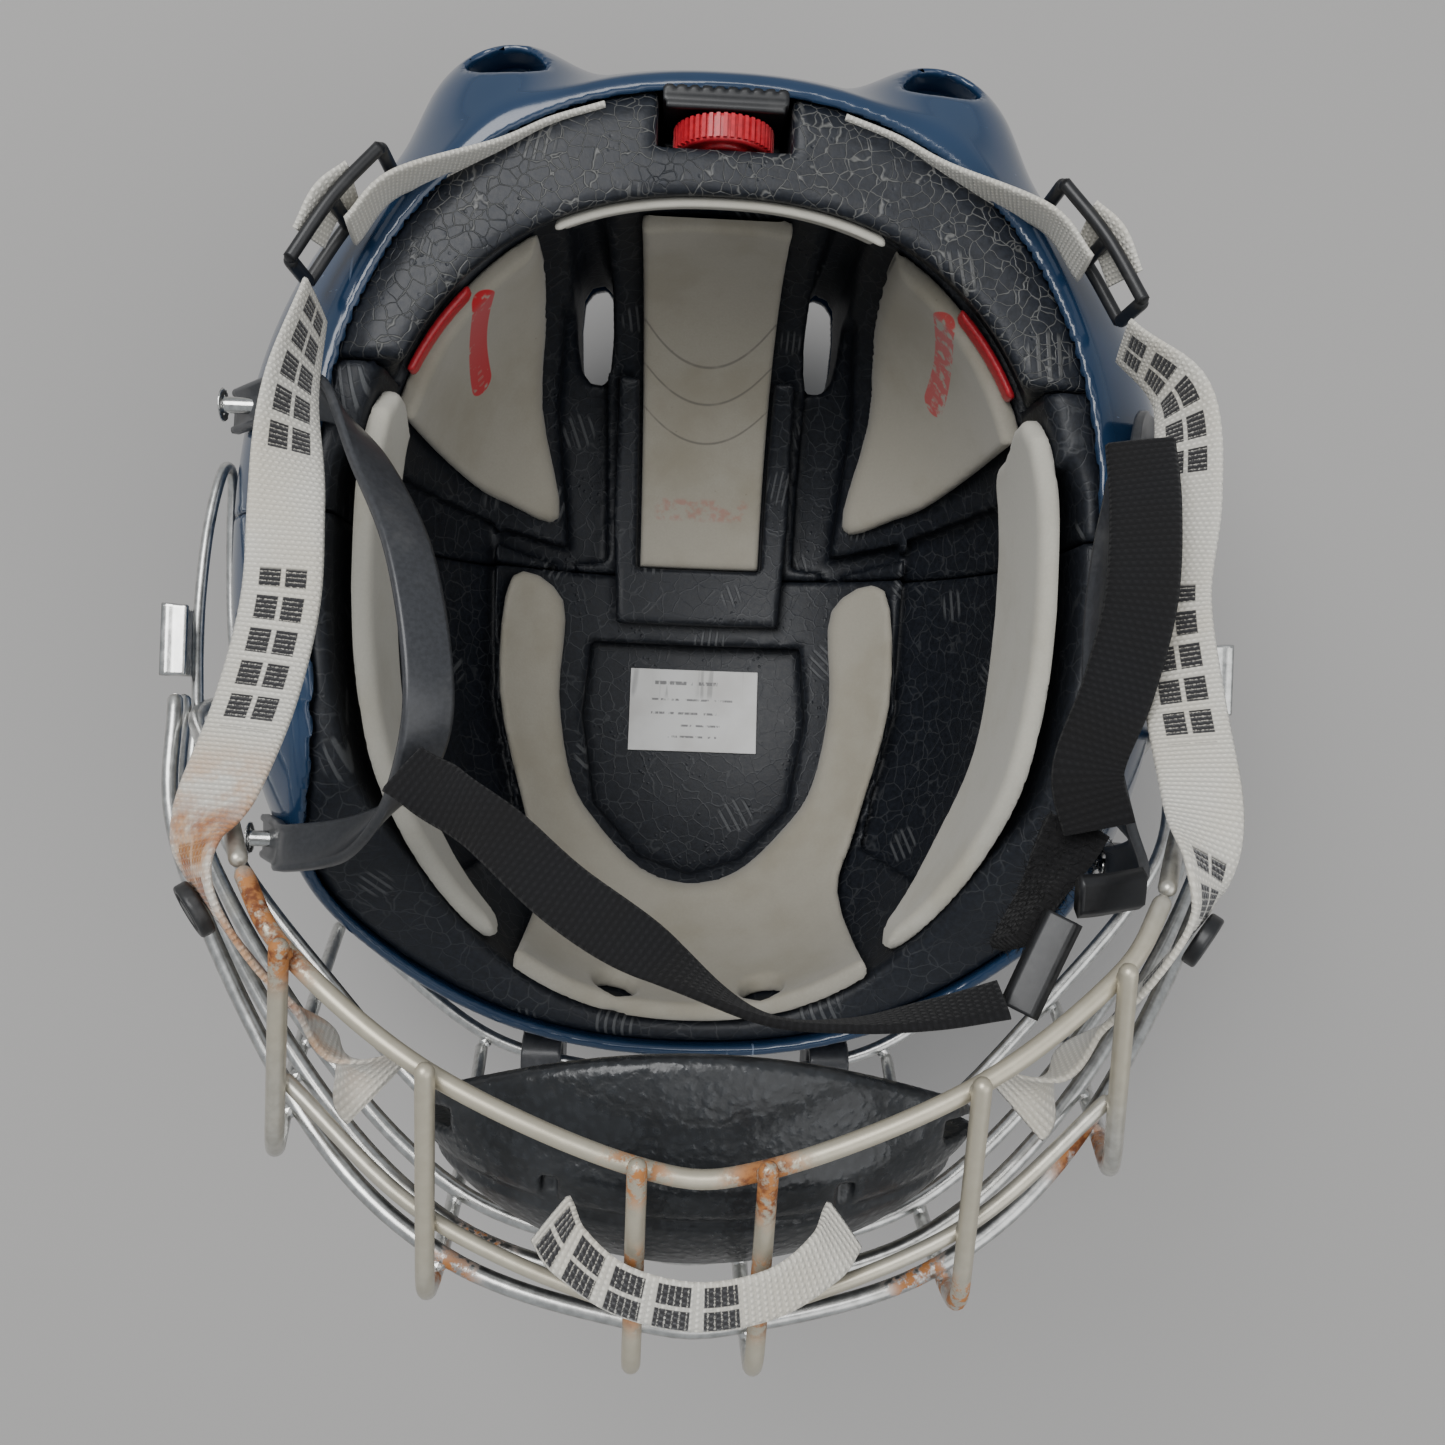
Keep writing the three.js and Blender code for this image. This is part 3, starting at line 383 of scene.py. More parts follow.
# ---------------------------------------------------------------------------
# Finishes
# ---------------------------------------------------------------------------
class Val:
    """A shader socket that Python's operators can work on."""

    def __init__(self, finish, socket):
        self.finish = finish
        self.socket = socket

    def _with(self, operation, *parts):
        return self.finish.node("ShaderNodeMath", {"operation": operation}, dict(enumerate(parts)))

    def __add__(self, other):
        return self._with("ADD", self, other)

    def __radd__(self, other):
        return self._with("ADD", other, self)

    def __sub__(self, other):
        return self._with("SUBTRACT", self, other)

    def __rsub__(self, other):
        return self._with("SUBTRACT", other, self)

    def __mul__(self, other):
        return self._with("MULTIPLY", self, other)

    def __rmul__(self, other):
        return self._with("MULTIPLY", other, self)

    def __truediv__(self, other):
        return self._with("DIVIDE", self, other)

    def __pow__(self, other):
        return self._with("POWER", self, other)

    def __lt__(self, other):
        return self._with("LESS_THAN", self, other)

    def __gt__(self, other):
        return self._with("GREATER_THAN", self, other)

    def sin(self):
        return self._with("SINE", self)

    def size(self):
        return self._with("ABSOLUTE", self)

    def part(self):
        return self._with("FRACT", self)

    def whole(self):
        return self._with("FLOOR", self)

    def most(self, other):
        return self._with("MAXIMUM", self, other)

    def least(self, other):
        return self._with("MINIMUM", self, other)

    def ease(self, low, high, bottom=0.0, top=1.0):
        """Goes smoothly from bottom at low to top at high."""
        return self.finish.node("ShaderNodeMapRange", {"interpolation_type": "SMOOTHSTEP", "clamp": True}, {
            "Value": self, "From Min": low, "From Max": high, "To Min": bottom, "To Max": top})


class Finish:
    """A material under construction, around one Principled shader."""

    def __init__(self, name, **constants):
        self.material = bpy.data.materials.new(name)
        self.material.use_nodes = True
        self.tree = self.material.node_tree
        self.shader = self.tree.nodes["Principled BSDF"]
        for socket, value in constants.items():
            self.set(socket.replace("_", " ").title().replace("Ior", "IOR"), value)

    def set(self, socket, value):
        target = self.shader.inputs[socket]
        if isinstance(value, Val):
            self.tree.links.new(value.socket, target)
        else:
            target.default_value = (*value, 1.0) if isinstance(value, tuple) and len(value) == 3 else value

    def node(self, kind, settings=None, sockets=None, out=0):
        made = self.tree.nodes.new(kind)
        for key, value in (settings or {}).items():
            setattr(made, key, value)
        for key, value in (sockets or {}).items():
            if isinstance(value, Val):
                self.tree.links.new(value.socket, made.inputs[key])
            else:
                made.inputs[key].default_value = value
        return Val(self, made.outputs[out])

    def place(self):
        return self.node("ShaderNodeTexCoord", out="Object")

    def split(self, vector):
        made = self.node("ShaderNodeSeparateXYZ", sockets={0: vector})
        return [Val(self, s) for s in made.socket.node.outputs]

    def uv(self):
        return self.split(self.node("ShaderNodeTexCoord", out="UV"))

    def noise(self, scale, detail=3.0, rough=0.55, at=None, stretch=None):
        spot = at or self.place()
        if stretch:
            spot = self.node("ShaderNodeMapping", sockets={"Vector": spot, "Scale": stretch})
        return self.node("ShaderNodeTexNoise", sockets={
            "Vector": spot, "Scale": scale, "Detail": detail, "Roughness": rough})

    def cells(self, scale, feature="DISTANCE_TO_EDGE", out=0, at=None, random=1.0):
        return self.node("ShaderNodeTexVoronoi", {"feature": feature}, {
            "Vector": at or self.place(), "Scale": scale, "Randomness": random}, out)

    def far(self, point):
        """Distance in metres from a point given in millimetres."""
        return self.node("ShaderNodeVectorMath", {"operation": "DISTANCE"}, {
            0: self.place(), 1: tuple(c * MM for c in point)}, "Value")

    def spots(self, points, radius):
        """1 near any of the points, fading out at radius millimetres."""
        total = None
        for point in points:
            near = self.far(point).ease(radius * MM * 0.35, radius * MM, 1.0, 0.0)
            total = near if total is None else total.most(near)
        return total

    def blend(self, factor, low, high, kind="MIX"):
        """Mixes two colours, each a socket or a triple."""
        made = self.tree.nodes.new("ShaderNodeMix")
        made.data_type = "RGBA"
        made.blend_type = kind
        for index, value in ((0, factor), (6, low), (7, high)):
            if isinstance(value, Val):
                self.tree.links.new(value.socket, made.inputs[index])
            elif index == 0:
                made.inputs[0].default_value = value
            else:
                made.inputs[index].default_value = (*value, 1.0)
        return Val(self, made.outputs[2])

    def bump(self, height, strength, depth):
        """Depth is the height in millimetres that a value of 1 stands for."""
        self.set("Normal", self.node("ShaderNodeBump", sockets={
            "Height": height, "Strength": strength, "Distance": depth * MM}, out="Normal"))
        return self.material


def scratches(finish, scale=900.0, keep=0.985):
    """Fine straight scratches in two directions."""
    one = finish.noise(scale, 1.0, 0.3, stretch=(0.04, 1.0, 0.6))
    two = finish.noise(scale * 0.8, 1.0, 0.3, stretch=(1.0, 0.05, 0.3))
    patch = finish.noise(25.0, 2.0).ease(0.5, 0.7)
    return (one.ease(keep - 0.23, keep - 0.15)).most(two.ease(keep - 0.24, keep - 0.16)) * patch


def navy_gloss(colour):
    f = Finish("navy_gloss", roughness=0.2, coat_weight=0.5, coat_roughness=0.08, specular_ior_level=0.5)
    cloud = f.noise(18.0, 3.0)
    worn = scratches(f)
    base = f.blend(cloud.ease(0.3, 0.7), tuple(c * 0.82 for c in colour), tuple(c * 1.15 for c in colour))
    f.set("Base Color", f.blend(worn * 0.5, base, (0.25, 0.32, 0.45)))
    f.set("Roughness", (worn * 0.3 + cloud * 0.08 + 0.14))
    return f.bump(worn * -1.0 + f.noise(60.0, 2.0) * 0.25, 0.25, 0.06)


def hatch_marks(f, pitch=2.0, cell=24.0, reach=0.2):
    """Small patches of pressed parallel lines, scattered over the foam."""
    spot = f.place()
    scale = 1000.0 / cell
    spread = f.cells(scale, "F1", 0, random=0.75)
    tilt = f.cells(scale, "F1", "Color", random=0.75)
    x, y, z = f.split(spot)
    turn = f.split(tilt)[0]
    line = (x * (1.0 - turn * 0.5) + y * (turn - 0.35) + z * 0.25) * (2 * math.pi * 1000.0 / pitch)
    return spread.ease(reach, reach + 0.07, 1.0, 0.0) * line.sin().ease(0.1, 0.8)


def bead_foam(name, deep, light, crackle=0.5, cell=5.0, hatch=0.35, roughness=0.6):
    """Expanded bead foam: a dark skin with cell edges showing as fine light lines."""
    f = Finish(name, specular_ior_level=0.4)
    warp = f.node("ShaderNodeVectorMath", {"operation": "MULTIPLY_ADD"}, {
        0: Val(f, f.noise(140.0, 2.0).socket.node.outputs["Color"]), 1: (0.004,) * 3, 2: f.place()})
    edge = f.cells(1000.0 / cell, at=warp)
    thin = edge.ease(0.0, 0.055, 1.0, 0.0)
    patchy = f.noise(45.0, 3.0).ease(0.3, 0.55)
    fine = f.noise(700.0, 3.0, 0.7)
    pits = f.cells(480.0, "F1").ease(0.05, 0.3, 1.0, 0.0) * f.noise(90.0, 1.0).ease(0.5, 0.7)
    marks = hatch_marks(f)
    lit = (thin * patchy * crackle).most(marks * hatch)
    base = f.blend(fine.ease(0.3, 0.75), deep, tuple(c * 2.0 for c in deep))
    f.set("Base Color", f.blend(lit, base, light))
    f.set("Roughness", fine * 0.2 + (roughness - 0.1))
    height = fine * 0.35 - thin * crackle - pits * 0.8 + marks * 0.7 + f.noise(60.0, 2.0) * 1.2
    return f.bump(height, 0.55, 0.35)


def pad_foam(name, colour, lines=None, label=None, print_patch=None):
    """Soft closed-cell foam with a felt-like face, lightly soiled; the caller makes the masks for its marks."""
    f = Finish(name, specular_ior_level=0.15, sheen_weight=0.25, sheen_roughness=0.6)
    fine = f.noise(1500.0, 2.0, 0.7)
    soil = f.noise(34.0, 4.0, 0.6).ease(0.42, 0.72)
    specks = f.cells(160.0, "F1").ease(0.0, 0.07, 1.0, 0.0) * f.noise(30.0, 1.0).ease(0.52, 0.66)
    base = f.blend(soil * 0.5, colour, tuple(c * k for c, k in zip(colour, (0.72, 0.68, 0.58))))
    base = f.blend(fine.ease(0.2, 0.8) * 0.25, base, tuple(c * 0.7 for c in colour))
    base = f.blend(specks * 0.5, base, (0.1, 0.08, 0.06))
    ink = None
    if lines:
        ink = lines(f)
        base = f.blend(ink * 0.5, base, (0.07, 0.068, 0.065))
    if print_patch:
        base = f.blend(print_patch(f), base, (0.45, 0.06, 0.05))
    if label:
        base = f.blend(label(f), base, (0.55, 0.022, 0.03))
    f.set("Base Color", base)
    f.set("Roughness", fine * 0.15 + 0.78)
    height = fine * 0.4 + f.noise(220.0, 3.0) * 0.7
    return f.bump(height if ink is None else height - ink * 1.2, 0.4, 0.12)


def crown_lines(f):
    """Three pressed curves across the crown pad."""
    x, y, _ = f.split(f.place())
    bow = y - x * x * 26.0
    mask = None
    for at in (0.0735, 0.064, 0.0531):
        line = (bow - at).size().ease(0.0001, 0.0005, 1.0, 0.0)
        mask = line if mask is None else mask.most(line)
    return mask * f.noise(120.0, 2.0).ease(0.25, 0.5)


def faded_print(f):
    """What is left of a printed stripe: faint blotches."""
    x, y, _ = f.split(f.place())
    zone = x.size().ease(0.0135, 0.0155, 1.0, 0.0) * (y - 0.033).size().ease(0.0025, 0.004, 1.0, 0.0)
    return zone * f.noise(330.0, 3.0).ease(0.42, 0.62) * 0.32


def rear_label(side, worn):
    """A slim rounded bar printed down the rear side pad."""
    start = (side * 59.2, 70.3, 119.0)
    way = (side * 5.0, -12.0, -34.0)

    def mask(f):
        length = math.sqrt(sum(c * c for c in way))
        offset = [c - s * MM for c, s in zip(f.split(f.place()), start)]
        along = sum((c * (w / length) for c, w in zip(offset, way)), 0.0)
        inside = along.most(0.0).least(length * MM)
        gaps = [c - inside * (w / length) for c, w in zip(offset, way)]
        near = sum((g * g for g in gaps), 0.0) ** 0.5
        body = near.ease(0.0040, 0.0043, 1.0, 0.0)
        marks = near.ease(0.0011, 0.0014, 1.0, 0.0) * (along * 2400.0).sin().ease(0.1, 0.4) * 0.3
        left = f.noise(260.0, 3.0).ease(0.3 + worn * 0.14, 0.42 + worn * 0.16)
        return (body - marks) * left * (1.0 - worn * 0.35)
    return mask


def webbing(name, base, dark, motif=False, rust=None, rib=1.15):
    """Flat woven strap: ribs across and a herringbone of yarns."""
    sheen = 0.3 if base[0] > 0.1 else 0.06
    f = Finish(name, specular_ior_level=0.12, sheen_weight=sheen, sheen_roughness=0.5)
    along, across, _ = f.uv()
    ribs = (along * (2 * math.pi * 1000.0 / rib)).sin()
    rows = (across * (2 * math.pi * 1000.0 / (rib * 1.15)) + (along * 1000.0 / rib).whole() * math.pi).sin()
    weave = (ribs * 0.5 + 0.5) * (rows * 0.35 + 0.65)
    fuzz = f.noise(2600.0, 2.0, 0.7)
    grime = f.noise(38.0, 3.0).ease(0.4, 0.7)
    colour = f.blend((1.0 - weave) * 0.75, base, tuple(c * 0.55 for c in base))
    colour = f.blend(grime * 0.35, colour, tuple(c * k for c, k in zip(base, (0.72, 0.66, 0.56))))
    if motif:
        window = (along / 0.066).part()
        window = window.ease(0.02, 0.035) * window.ease(0.62, 0.635, 1.0, 0.0)
        bars = (along / 0.0082).part()
        post = bars.ease(0.08, 0.11) * bars.ease(0.8, 0.83, 1.0, 0.0)
        tall = across.size().ease(0.0046, 0.0049, 1.0, 0.0)
        seam = across.size().ease(0.0003, 0.0006)
        shape = post * tall * seam * window
        broken = (weave * 0.8 + fuzz * 0.5).ease(0.16, 0.34)
        colour = f.blend(shape * broken, colour, dark)
    if rust:
        stain = f.spots(rust, 30.0) * f.noise(75.0, 4.0, 0.65).ease(0.36, 0.6)
        core = f.spots(rust, 17.0) * f.noise(120.0, 4.0, 0.65).ease(0.4, 0.6)
        colour = f.blend(stain * 0.75, colour, (0.56, 0.25, 0.07))
        colour = f.blend(core * 0.75, colour, (0.28, 0.075, 0.02))
    f.set("Base Color", colour)
    f.set("Roughness", fuzz * 0.1 + 0.85)
    return f.bump(weave * 1.0 + fuzz * 0.5, 0.8, 0.4)


# places on the wires, at and near the welds, where the plating has gone
RUST_SPOTS = [
    (-73, -77, 241), (-80, -68, 231), (-11, -110, 248), (-11, -130, 240), (12, -111, 248), (11, -131, 239),
    (-47, -143, 213), (-42, -141, 198), (44, -141, 214), (77, -119, 207), (64, -112, 212), (49, -139, 228),
]
HEAVY_RUST = [
    (-74, -76, 240), (-79, -70, 232), (11, -112, 248), (-11, -134, 238), (12, -135, 237), (77, -119, 205),
]


def cage_steel(patina, chrome=False):
    """Plated wire: bright where clean, dull cream where the coat has gone, brown at the welds."""
    f = Finish("chrome_wire" if chrome else "cage_steel", specular_ior_level=0.5)
    _, _, z = f.split(f.place())
    grain = f.noise(420.0, 3.0, 0.6)
    broad = f.noise(40.0, 3.0)
    metal = f.blend(grain.ease(0.3, 0.7), (0.50, 0.50, 0.485), (0.70, 0.70, 0.68))
    if chrome:
        f.set("Base Color", metal)
        f.set("Metallic", 1.0)
        f.set("Roughness", grain * 0.15 + 0.12)
        return f.bump(grain, 0.2, 0.05)
    dull = (z + broad * 0.014).ease(0.222, 0.243) * 0.85
    dull = dull.most(broad.ease(0.6, 0.72) * 0.35)
    rusty = f.spots(RUST_SPOTS, 9.0) * f.noise(420.0, 4.0, 0.65).ease(0.44, 0.58)
    heavy = f.spots(HEAVY_RUST, 11.0) * f.noise(330.0, 4.0, 0.65).ease(0.36, 0.52)
    rusty = rusty.most(heavy)
    colour = f.blend(dull, metal, patina)
    colour = f.blend(rusty, colour, f.blend(grain.ease(0.35, 0.6), (0.16, 0.045, 0.012), (0.42, 0.17, 0.05)))
    f.set("Base Color", colour)
    f.set("Metallic", (1.0 - dull * 0.55) * (1.0 - rusty))
    f.set("Roughness", grain * 0.12 + 0.24 + dull * 0.1 + rusty * 0.4)
    return f.bump(grain * 0.4 + rusty * f.noise(1500.0, 3.0) * 2.0, 0.35, 0.12)


def moulded_plastic(name, colour, roughness, coat=0.0, grain=900.0):
    """Moulded plastic with a fine texture, handling marks and dust."""
    f = Finish(name, coat_roughness=0.2, specular_ior_level=0.5)
    fine = f.noise(grain, 3.0, 0.6)
    dust = f.noise(70.0, 4.0, 0.65).ease(0.5, 0.78)
    marks = scratches(f, 700.0)
    base = f.blend(fine.ease(0.3, 0.7), tuple(c * 0.85 for c in colour), tuple(c * 1.2 for c in colour))
    base = f.blend(dust * 0.10, base, (0.3, 0.29, 0.27))
    f.set("Base Color", f.blend(marks * 0.4, base, tuple(min(1.0, c * 3 + 0.05) for c in colour)))
    f.set("Roughness", fine * 0.12 + dust * 0.12 + roughness - 0.06)
    f.set("Coat Weight", coat)
    return f.bump(fine * 0.5 - marks, 0.3, 0.08)


def cup_foam(colour):
    """Glossy skin of the chin cup, pebbled like orange peel."""
    f = Finish("cup_foam", specular_ior_level=0.55)
    warp = f.node("ShaderNodeVectorMath", {"operation": "MULTIPLY_ADD"}, {
        0: Val(f, f.noise(500.0, 2.0).socket.node.outputs["Color"]), 1: (0.0016,) * 3, 2: f.place()})
    pebble = f.cells(620.0, "SMOOTH_F1", at=warp)
    coarse = f.noise(260.0, 3.0, 0.6)
    worn = f.noise(45.0, 3.0).ease(0.45, 0.7)
    base = f.blend(pebble.ease(0.1, 0.6), tuple(c * 1.7 for c in colour), colour)
    f.set("Base Color", f.blend(worn * 0.25, base, (0.07, 0.072, 0.074)))
    f.set("Roughness", pebble * 0.15 + worn * 0.12 + 0.24)
    return f.bump(pebble * -0.9 + coarse * 0.6, 0.6, 0.4)


def label_sheet():
    """A worn paper label ruled with plain grey bars."""
    f = Finish("label_paper", roughness=0.45, specular_ior_level=0.4)
    x, y, _ = f.split(f.place())
    rows = None
    for at, left, right, thick in ((-22.5, -13, 8, 1.4), (-28.0, -15, 13, 0.8), (-32.5, -14, 9, 0.9),
                                   (-36.5, -4, 9, 0.8), (-40.2, -9, 8, 0.8)):
        bar = (y - at * MM).size().ease(thick * 0.35 * MM, thick * 0.5 * MM, 1.0, 0.0)
        bar = bar * ((x - left * MM).ease(0.0, 0.0002)) * (x - right * MM).ease(-0.0002, 0.0, 1.0, 0.0)
        rows = bar if rows is None else rows.most(bar)
    chips = f.noise(600.0, 3.0, 0.7, stretch=(1.0, 0.25, 1.0)).ease(0.44, 0.56)
    streak = f.noise(520.0, 1.0, 0.3, stretch=(1.0, 0.05, 0.05)).ease(0.62, 0.7)
    streak = streak * (y + 0.0225).size().ease(0.003, 0.006, 1.0, 0.0)
    paper = f.blend(f.noise(50.0, 3.0).ease(0.4, 0.7), (0.74, 0.74, 0.73), (0.62, 0.61, 0.59))
    f.set("Base Color", f.blend((rows * chips).most(streak * 0.5) * 0.8, paper, (0.09, 0.09, 0.095)))
    return f.bump(f.noise(900.0, 2.0), 0.15, 0.04)


# ---------------------------------------------------------------------------
# Geometry Nodes
# ---------------------------------------------------------------------------
class Graph:
    """A Geometry Nodes group under construction, run once on a mesh and then applied."""

    def __init__(self, name, **numbers):
        self.tree = bpy.data.node_groups.new(name, "GeometryNodeTree")
        face = self.tree.interface
        face.new_socket("Geometry", in_out="INPUT", socket_type="NodeSocketGeometry")
        face.new_socket("Material", in_out="INPUT", socket_type="NodeSocketMaterial")
        self.keys = {}
        for key, (value, low, high) in numbers.items():
            kind = "NodeSocketInt" if isinstance(value, int) else "NodeSocketFloat"
            socket = face.new_socket(key.replace("_", " ").title(), in_out="INPUT", socket_type=kind)
            socket.min_value, socket.max_value, socket.default_value = low, high, value
            self.keys[key] = socket.identifier
        face.new_socket("Geometry", in_out="OUTPUT", socket_type="NodeSocketGeometry")
        self.input = self.tree.nodes.new("NodeGroupInput")
        self.given = {key: self.input.outputs[key.replace("_", " ").title()] for key in numbers}

    def add(self, kind, settings=None, sockets=None, out=0):
        made = self.tree.nodes.new(kind)
        for key, value in (settings or {}).items():
            setattr(made, key, value)
        for key, value in (sockets or {}).items():
            if isinstance(value, bpy.types.NodeSocket):
                self.tree.links.new(value, made.inputs[key])
            else:
                made.inputs[key].default_value = value
        return made.outputs[out]

    def close(self, instances, keep_base=True):
        """Realizes the instances, gives them the material and joins them to the base."""
        real = self.add("GeometryNodeRealizeInstances", sockets={0: instances})
        if keep_base:
            join = self.tree.nodes.new("GeometryNodeJoinGeometry")
            self.tree.links.new(self.input.outputs["Geometry"], join.inputs[0])
            self.tree.links.new(real, join.inputs[0])
            real = join.outputs[0]
        material = self.input.outputs["Material"]
        real = self.add("GeometryNodeSetMaterial", sockets={"Geometry": real, "Material": material})
        end = self.tree.nodes.new("NodeGroupOutput")
        self.tree.links.new(real, end.inputs[0])

    def run(self, base, **values):
        """Runs the group on an object and leaves its result as the object's mesh."""
        material = base.data.materials[0]
        modifier = base.modifiers.new("Repeats", "NODES")
        modifier.node_group = self.tree
        modifier[self.tree.interface.items_tree["Material"].identifier] = material
        for key, value in values.items():
            modifier[self.keys[key]] = value
        base.update_tag()
        ready = base.evaluated_get(bpy.context.evaluated_depsgraph_get())
        mesh = bpy.data.meshes.new_from_object(ready)
        base.modifiers.remove(modifier)
        old = base.data
        base.data = mesh
        bpy.data.meshes.remove(old)
        mesh.name = base.name
        return base


def rib_graph():
    """Bars standing round a wheel that turns on the Y axis."""
    g = Graph("wheel_ribs", ribs=(30, 4, 120), radius=(0.012, 0.001, 0.1), width=(0.001, 0.0002, 0.01),
              length=(0.006, 0.001, 0.05))
    ring = g.add("GeometryNodeMeshCircle", sockets={"Vertices": g.given["ribs"], "Radius": g.given["radius"]})
    points = g.add("GeometryNodeMeshToPoints", sockets={"Mesh": ring})
    place = g.add("GeometryNodeInputPosition")
    turn = g.add("FunctionNodeAlignRotationToVector", {"axis": "X"}, {"Vector": place})
    bar = g.add("GeometryNodeMeshCube", sockets={
        "Size": g.add("ShaderNodeCombineXYZ", sockets={0: 0.0014, 1: g.given["width"], 2: g.given["length"]})})
    bars = g.add("GeometryNodeInstanceOnPoints", sockets={"Points": points, "Instance": bar, "Rotation": turn})
    upright = g.add("GeometryNodeTransform", sockets={"Geometry": bars, "Rotation": (math.pi / 2, 0.0, 0.0)})
    moved = g.add("GeometryNodeTransform", sockets={
        "Geometry": upright, "Translation": (0.0, DIAL_Y * MM, DIAL_Z * MM)})
    g.close(moved)
    return g


def weld_graph():
    """A small flattened bead of weld metal at every point of the base."""
    g = Graph("weld_beads", size=(0.002, 0.0005, 0.01), seed=(3, 0, 99))
    bead = g.add("GeometryNodeMeshIcoSphere", sockets={"Radius": g.given["size"], "Subdivisions": 2})
    size = g.add("FunctionNodeRandomValue", {"data_type": "FLOAT_VECTOR"}, {
        0: (0.8, 0.8, 0.7), 1: (1.25, 1.2, 1.1), "Seed": g.given["seed"]})
    beads = g.add("GeometryNodeInstanceOnPoints", sockets={
        "Points": g.input.outputs["Geometry"], "Instance": bead, "Scale": size})
    g.close(beads, keep_base=False)
    return g


def fibre_graph():
    """Short bent fibres scattered over the base."""
    g = Graph("loose_fibres", density=(60000.0, 100.0, 900000.0), length=(0.0025, 0.0002, 0.02),
              seed=(5, 0, 99))
    base = g.input.outputs["Geometry"]
    spread = g.tree.nodes.new("GeometryNodeDistributePointsOnFaces")
    g.tree.links.new(base, spread.inputs["Mesh"])
    g.tree.links.new(g.given["density"], spread.inputs["Density"])
    g.tree.links.new(g.given["seed"], spread.inputs["Seed"])
    fibre = g.add("GeometryNodeMeshCone", sockets={
        "Vertices": 3, "Side Segments": 2, "Radius Top": 0.00003, "Radius Bottom": 0.00011,
        "Depth": g.given["length"]})
    wobble = g.add("FunctionNodeRandomValue", {"data_type": "FLOAT_VECTOR"}, {
        0: (-1.1, -1.1, -3.0), 1: (1.1, 1.1, 3.0), "Seed": g.given["seed"]})
    turn = g.add("FunctionNodeRotateRotation", {"rotation_space": "LOCAL"}, {
        0: spread.outputs["Rotation"], 1: wobble})
    size = g.add("FunctionNodeRandomValue", {"data_type": "FLOAT"}, {
        "Min": 0.3, "Max": 1.2, "Seed": g.given["seed"]})
    fibres = g.add("GeometryNodeInstanceOnPoints", sockets={
        "Points": spread.outputs["Points"], "Instance": fibre, "Rotation": turn, "Scale": size})
    g.close(fibres)
    return g


# ---------------------------------------------------------------------------
# Placing pieces
# ---------------------------------------------------------------------------
def finished(obj, body, *nodes, slot=None, pad=None):
    """Rides a piece on its body and lets it stand for frame nodes."""
    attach(obj, body)
    if nodes:
        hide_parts(*nodes)
    return obj


def flipped(points):
    """Points, with or without an across direction, on the helmet's other side."""
    return [(-p[0], *p[1:3]) + ((-p[3], *p[4:]) if len(p) > 3 else ()) for p in points]


def on_side(points, side):
    return list(points) if side > 0 else flipped(points)


# ---------------------------------------------------------------------------
# Shell and foam
# ---------------------------------------------------------------------------
SPLIT_Y = 12.0
GAP = 0.3
HORN = ((52, 104, 116), (27, 32, 31))
HORN_VENT = [(44, 123), (50, 120.6), (60, 120.8), (64, 125), (57, 130), (49, 130)]
ROOF_VENT = [(30, 73), (39, 73), (39, 96), (30, 98)]
LOOP_REAR = (38.0, 136.0)
LOOP_FRONT = (-68.0, 130.0)


def wall_face(depth, x, y, z):
    """A face inside the shell; where the shell leans it stands further in, so the wall stays as thick."""
    lean = np.clip((z - BELT_Z) / (RIM_Z - BELT_Z), 0, 1) ** 2
    return bowl(grown(SHELL, -depth), x, y, z, TUCK, BACK_TUCK) + LEAN_ALLOWANCE * lean


def shell_field(x, y, z):
    outer = bowl(SHELL, x, y, z, TUCK, BACK_TUCK)
    inner = wall_face(SHELL_WALL, x, y, z)
    panel = ((np.abs(x) / 42) ** 5 + (np.abs(y + 24) / 76) ** 5 + (np.abs(z - 60) / 63) ** 5 + 1e-9) ** 0.2
    body = either(outer, (panel - 1) * 42, 5.0)
    for side in (-1, 1):
        centre, radii = HORN
        body = either(body, ball((side * centre[0], centre[1], centre[2]), radii, x, y, z), 9.0)
    body = both(body, -inner, 0.8)
    rim = above_rim(y, z)
    body = both(body, rim, 1.6)
    body = both(body, -z, 1.0)
    for side in (-1, 1):
        vent = outline(smooth_loop(mirrored(HORN_VENT, side), 4), x, y)
        body = both(body, -np.maximum(vent, 120 - z), 1.6)
        slot = outline(smooth_loop(mirrored(ROOF_VENT, side), 3), x, y)
        body = both(body, -np.maximum(slot, z - 116), 1.2)
    return body


LINER_CHANNELS = [
    [(64, 24), (86, 30), (96, 12), (96, -20), (84, -52), (66, -80), (52, -72), (62, -30)],
    [(30, 16), (42, 14), (46, 60), (43, 84), (31, 86)],
    [(40, 12), (64, 18), (62, 23), (40, 19)],
]
LINER_RECESS = [
    (-34, -10), (34, -10), (36, -34), (31, -62), (16, -78), (0, -83), (-16, -78), (-31, -62), (-36, -34),
]
BAND_LOW_Z = 124.0
BAND_START_Y = 48.0


def liner_field(x, y, z):
    outer = wall_face(SHELL_WALL + GAP, x, y, z)
    cavity = bowl(grown(FIT, PAD_THICK + GAP), x, y, z)
    deep = bowl(grown(FIT, 10, 7, 13), x, y, z)
    cavity = np.minimum(cavity, both(deep, outline(LINER_RECESS, x, y), 2.0))
    for side in (-1, 1):
        for channel in LINER_CHANNELS:
            cavity = np.minimum(cavity, both(deep, outline(mirrored(channel, side), x, y), 2.0))
    body = both(outer, -cavity, 1.6)
    body = both(body, above_rim(y, z, 1.0), 5.0)
    for side in (-1, 1):
        slot = outline(smooth_loop(mirrored(ROOF_VENT, side), 3), x, y)
        body = both(body, -np.maximum(slot, z - 116), 2.0)
    return body


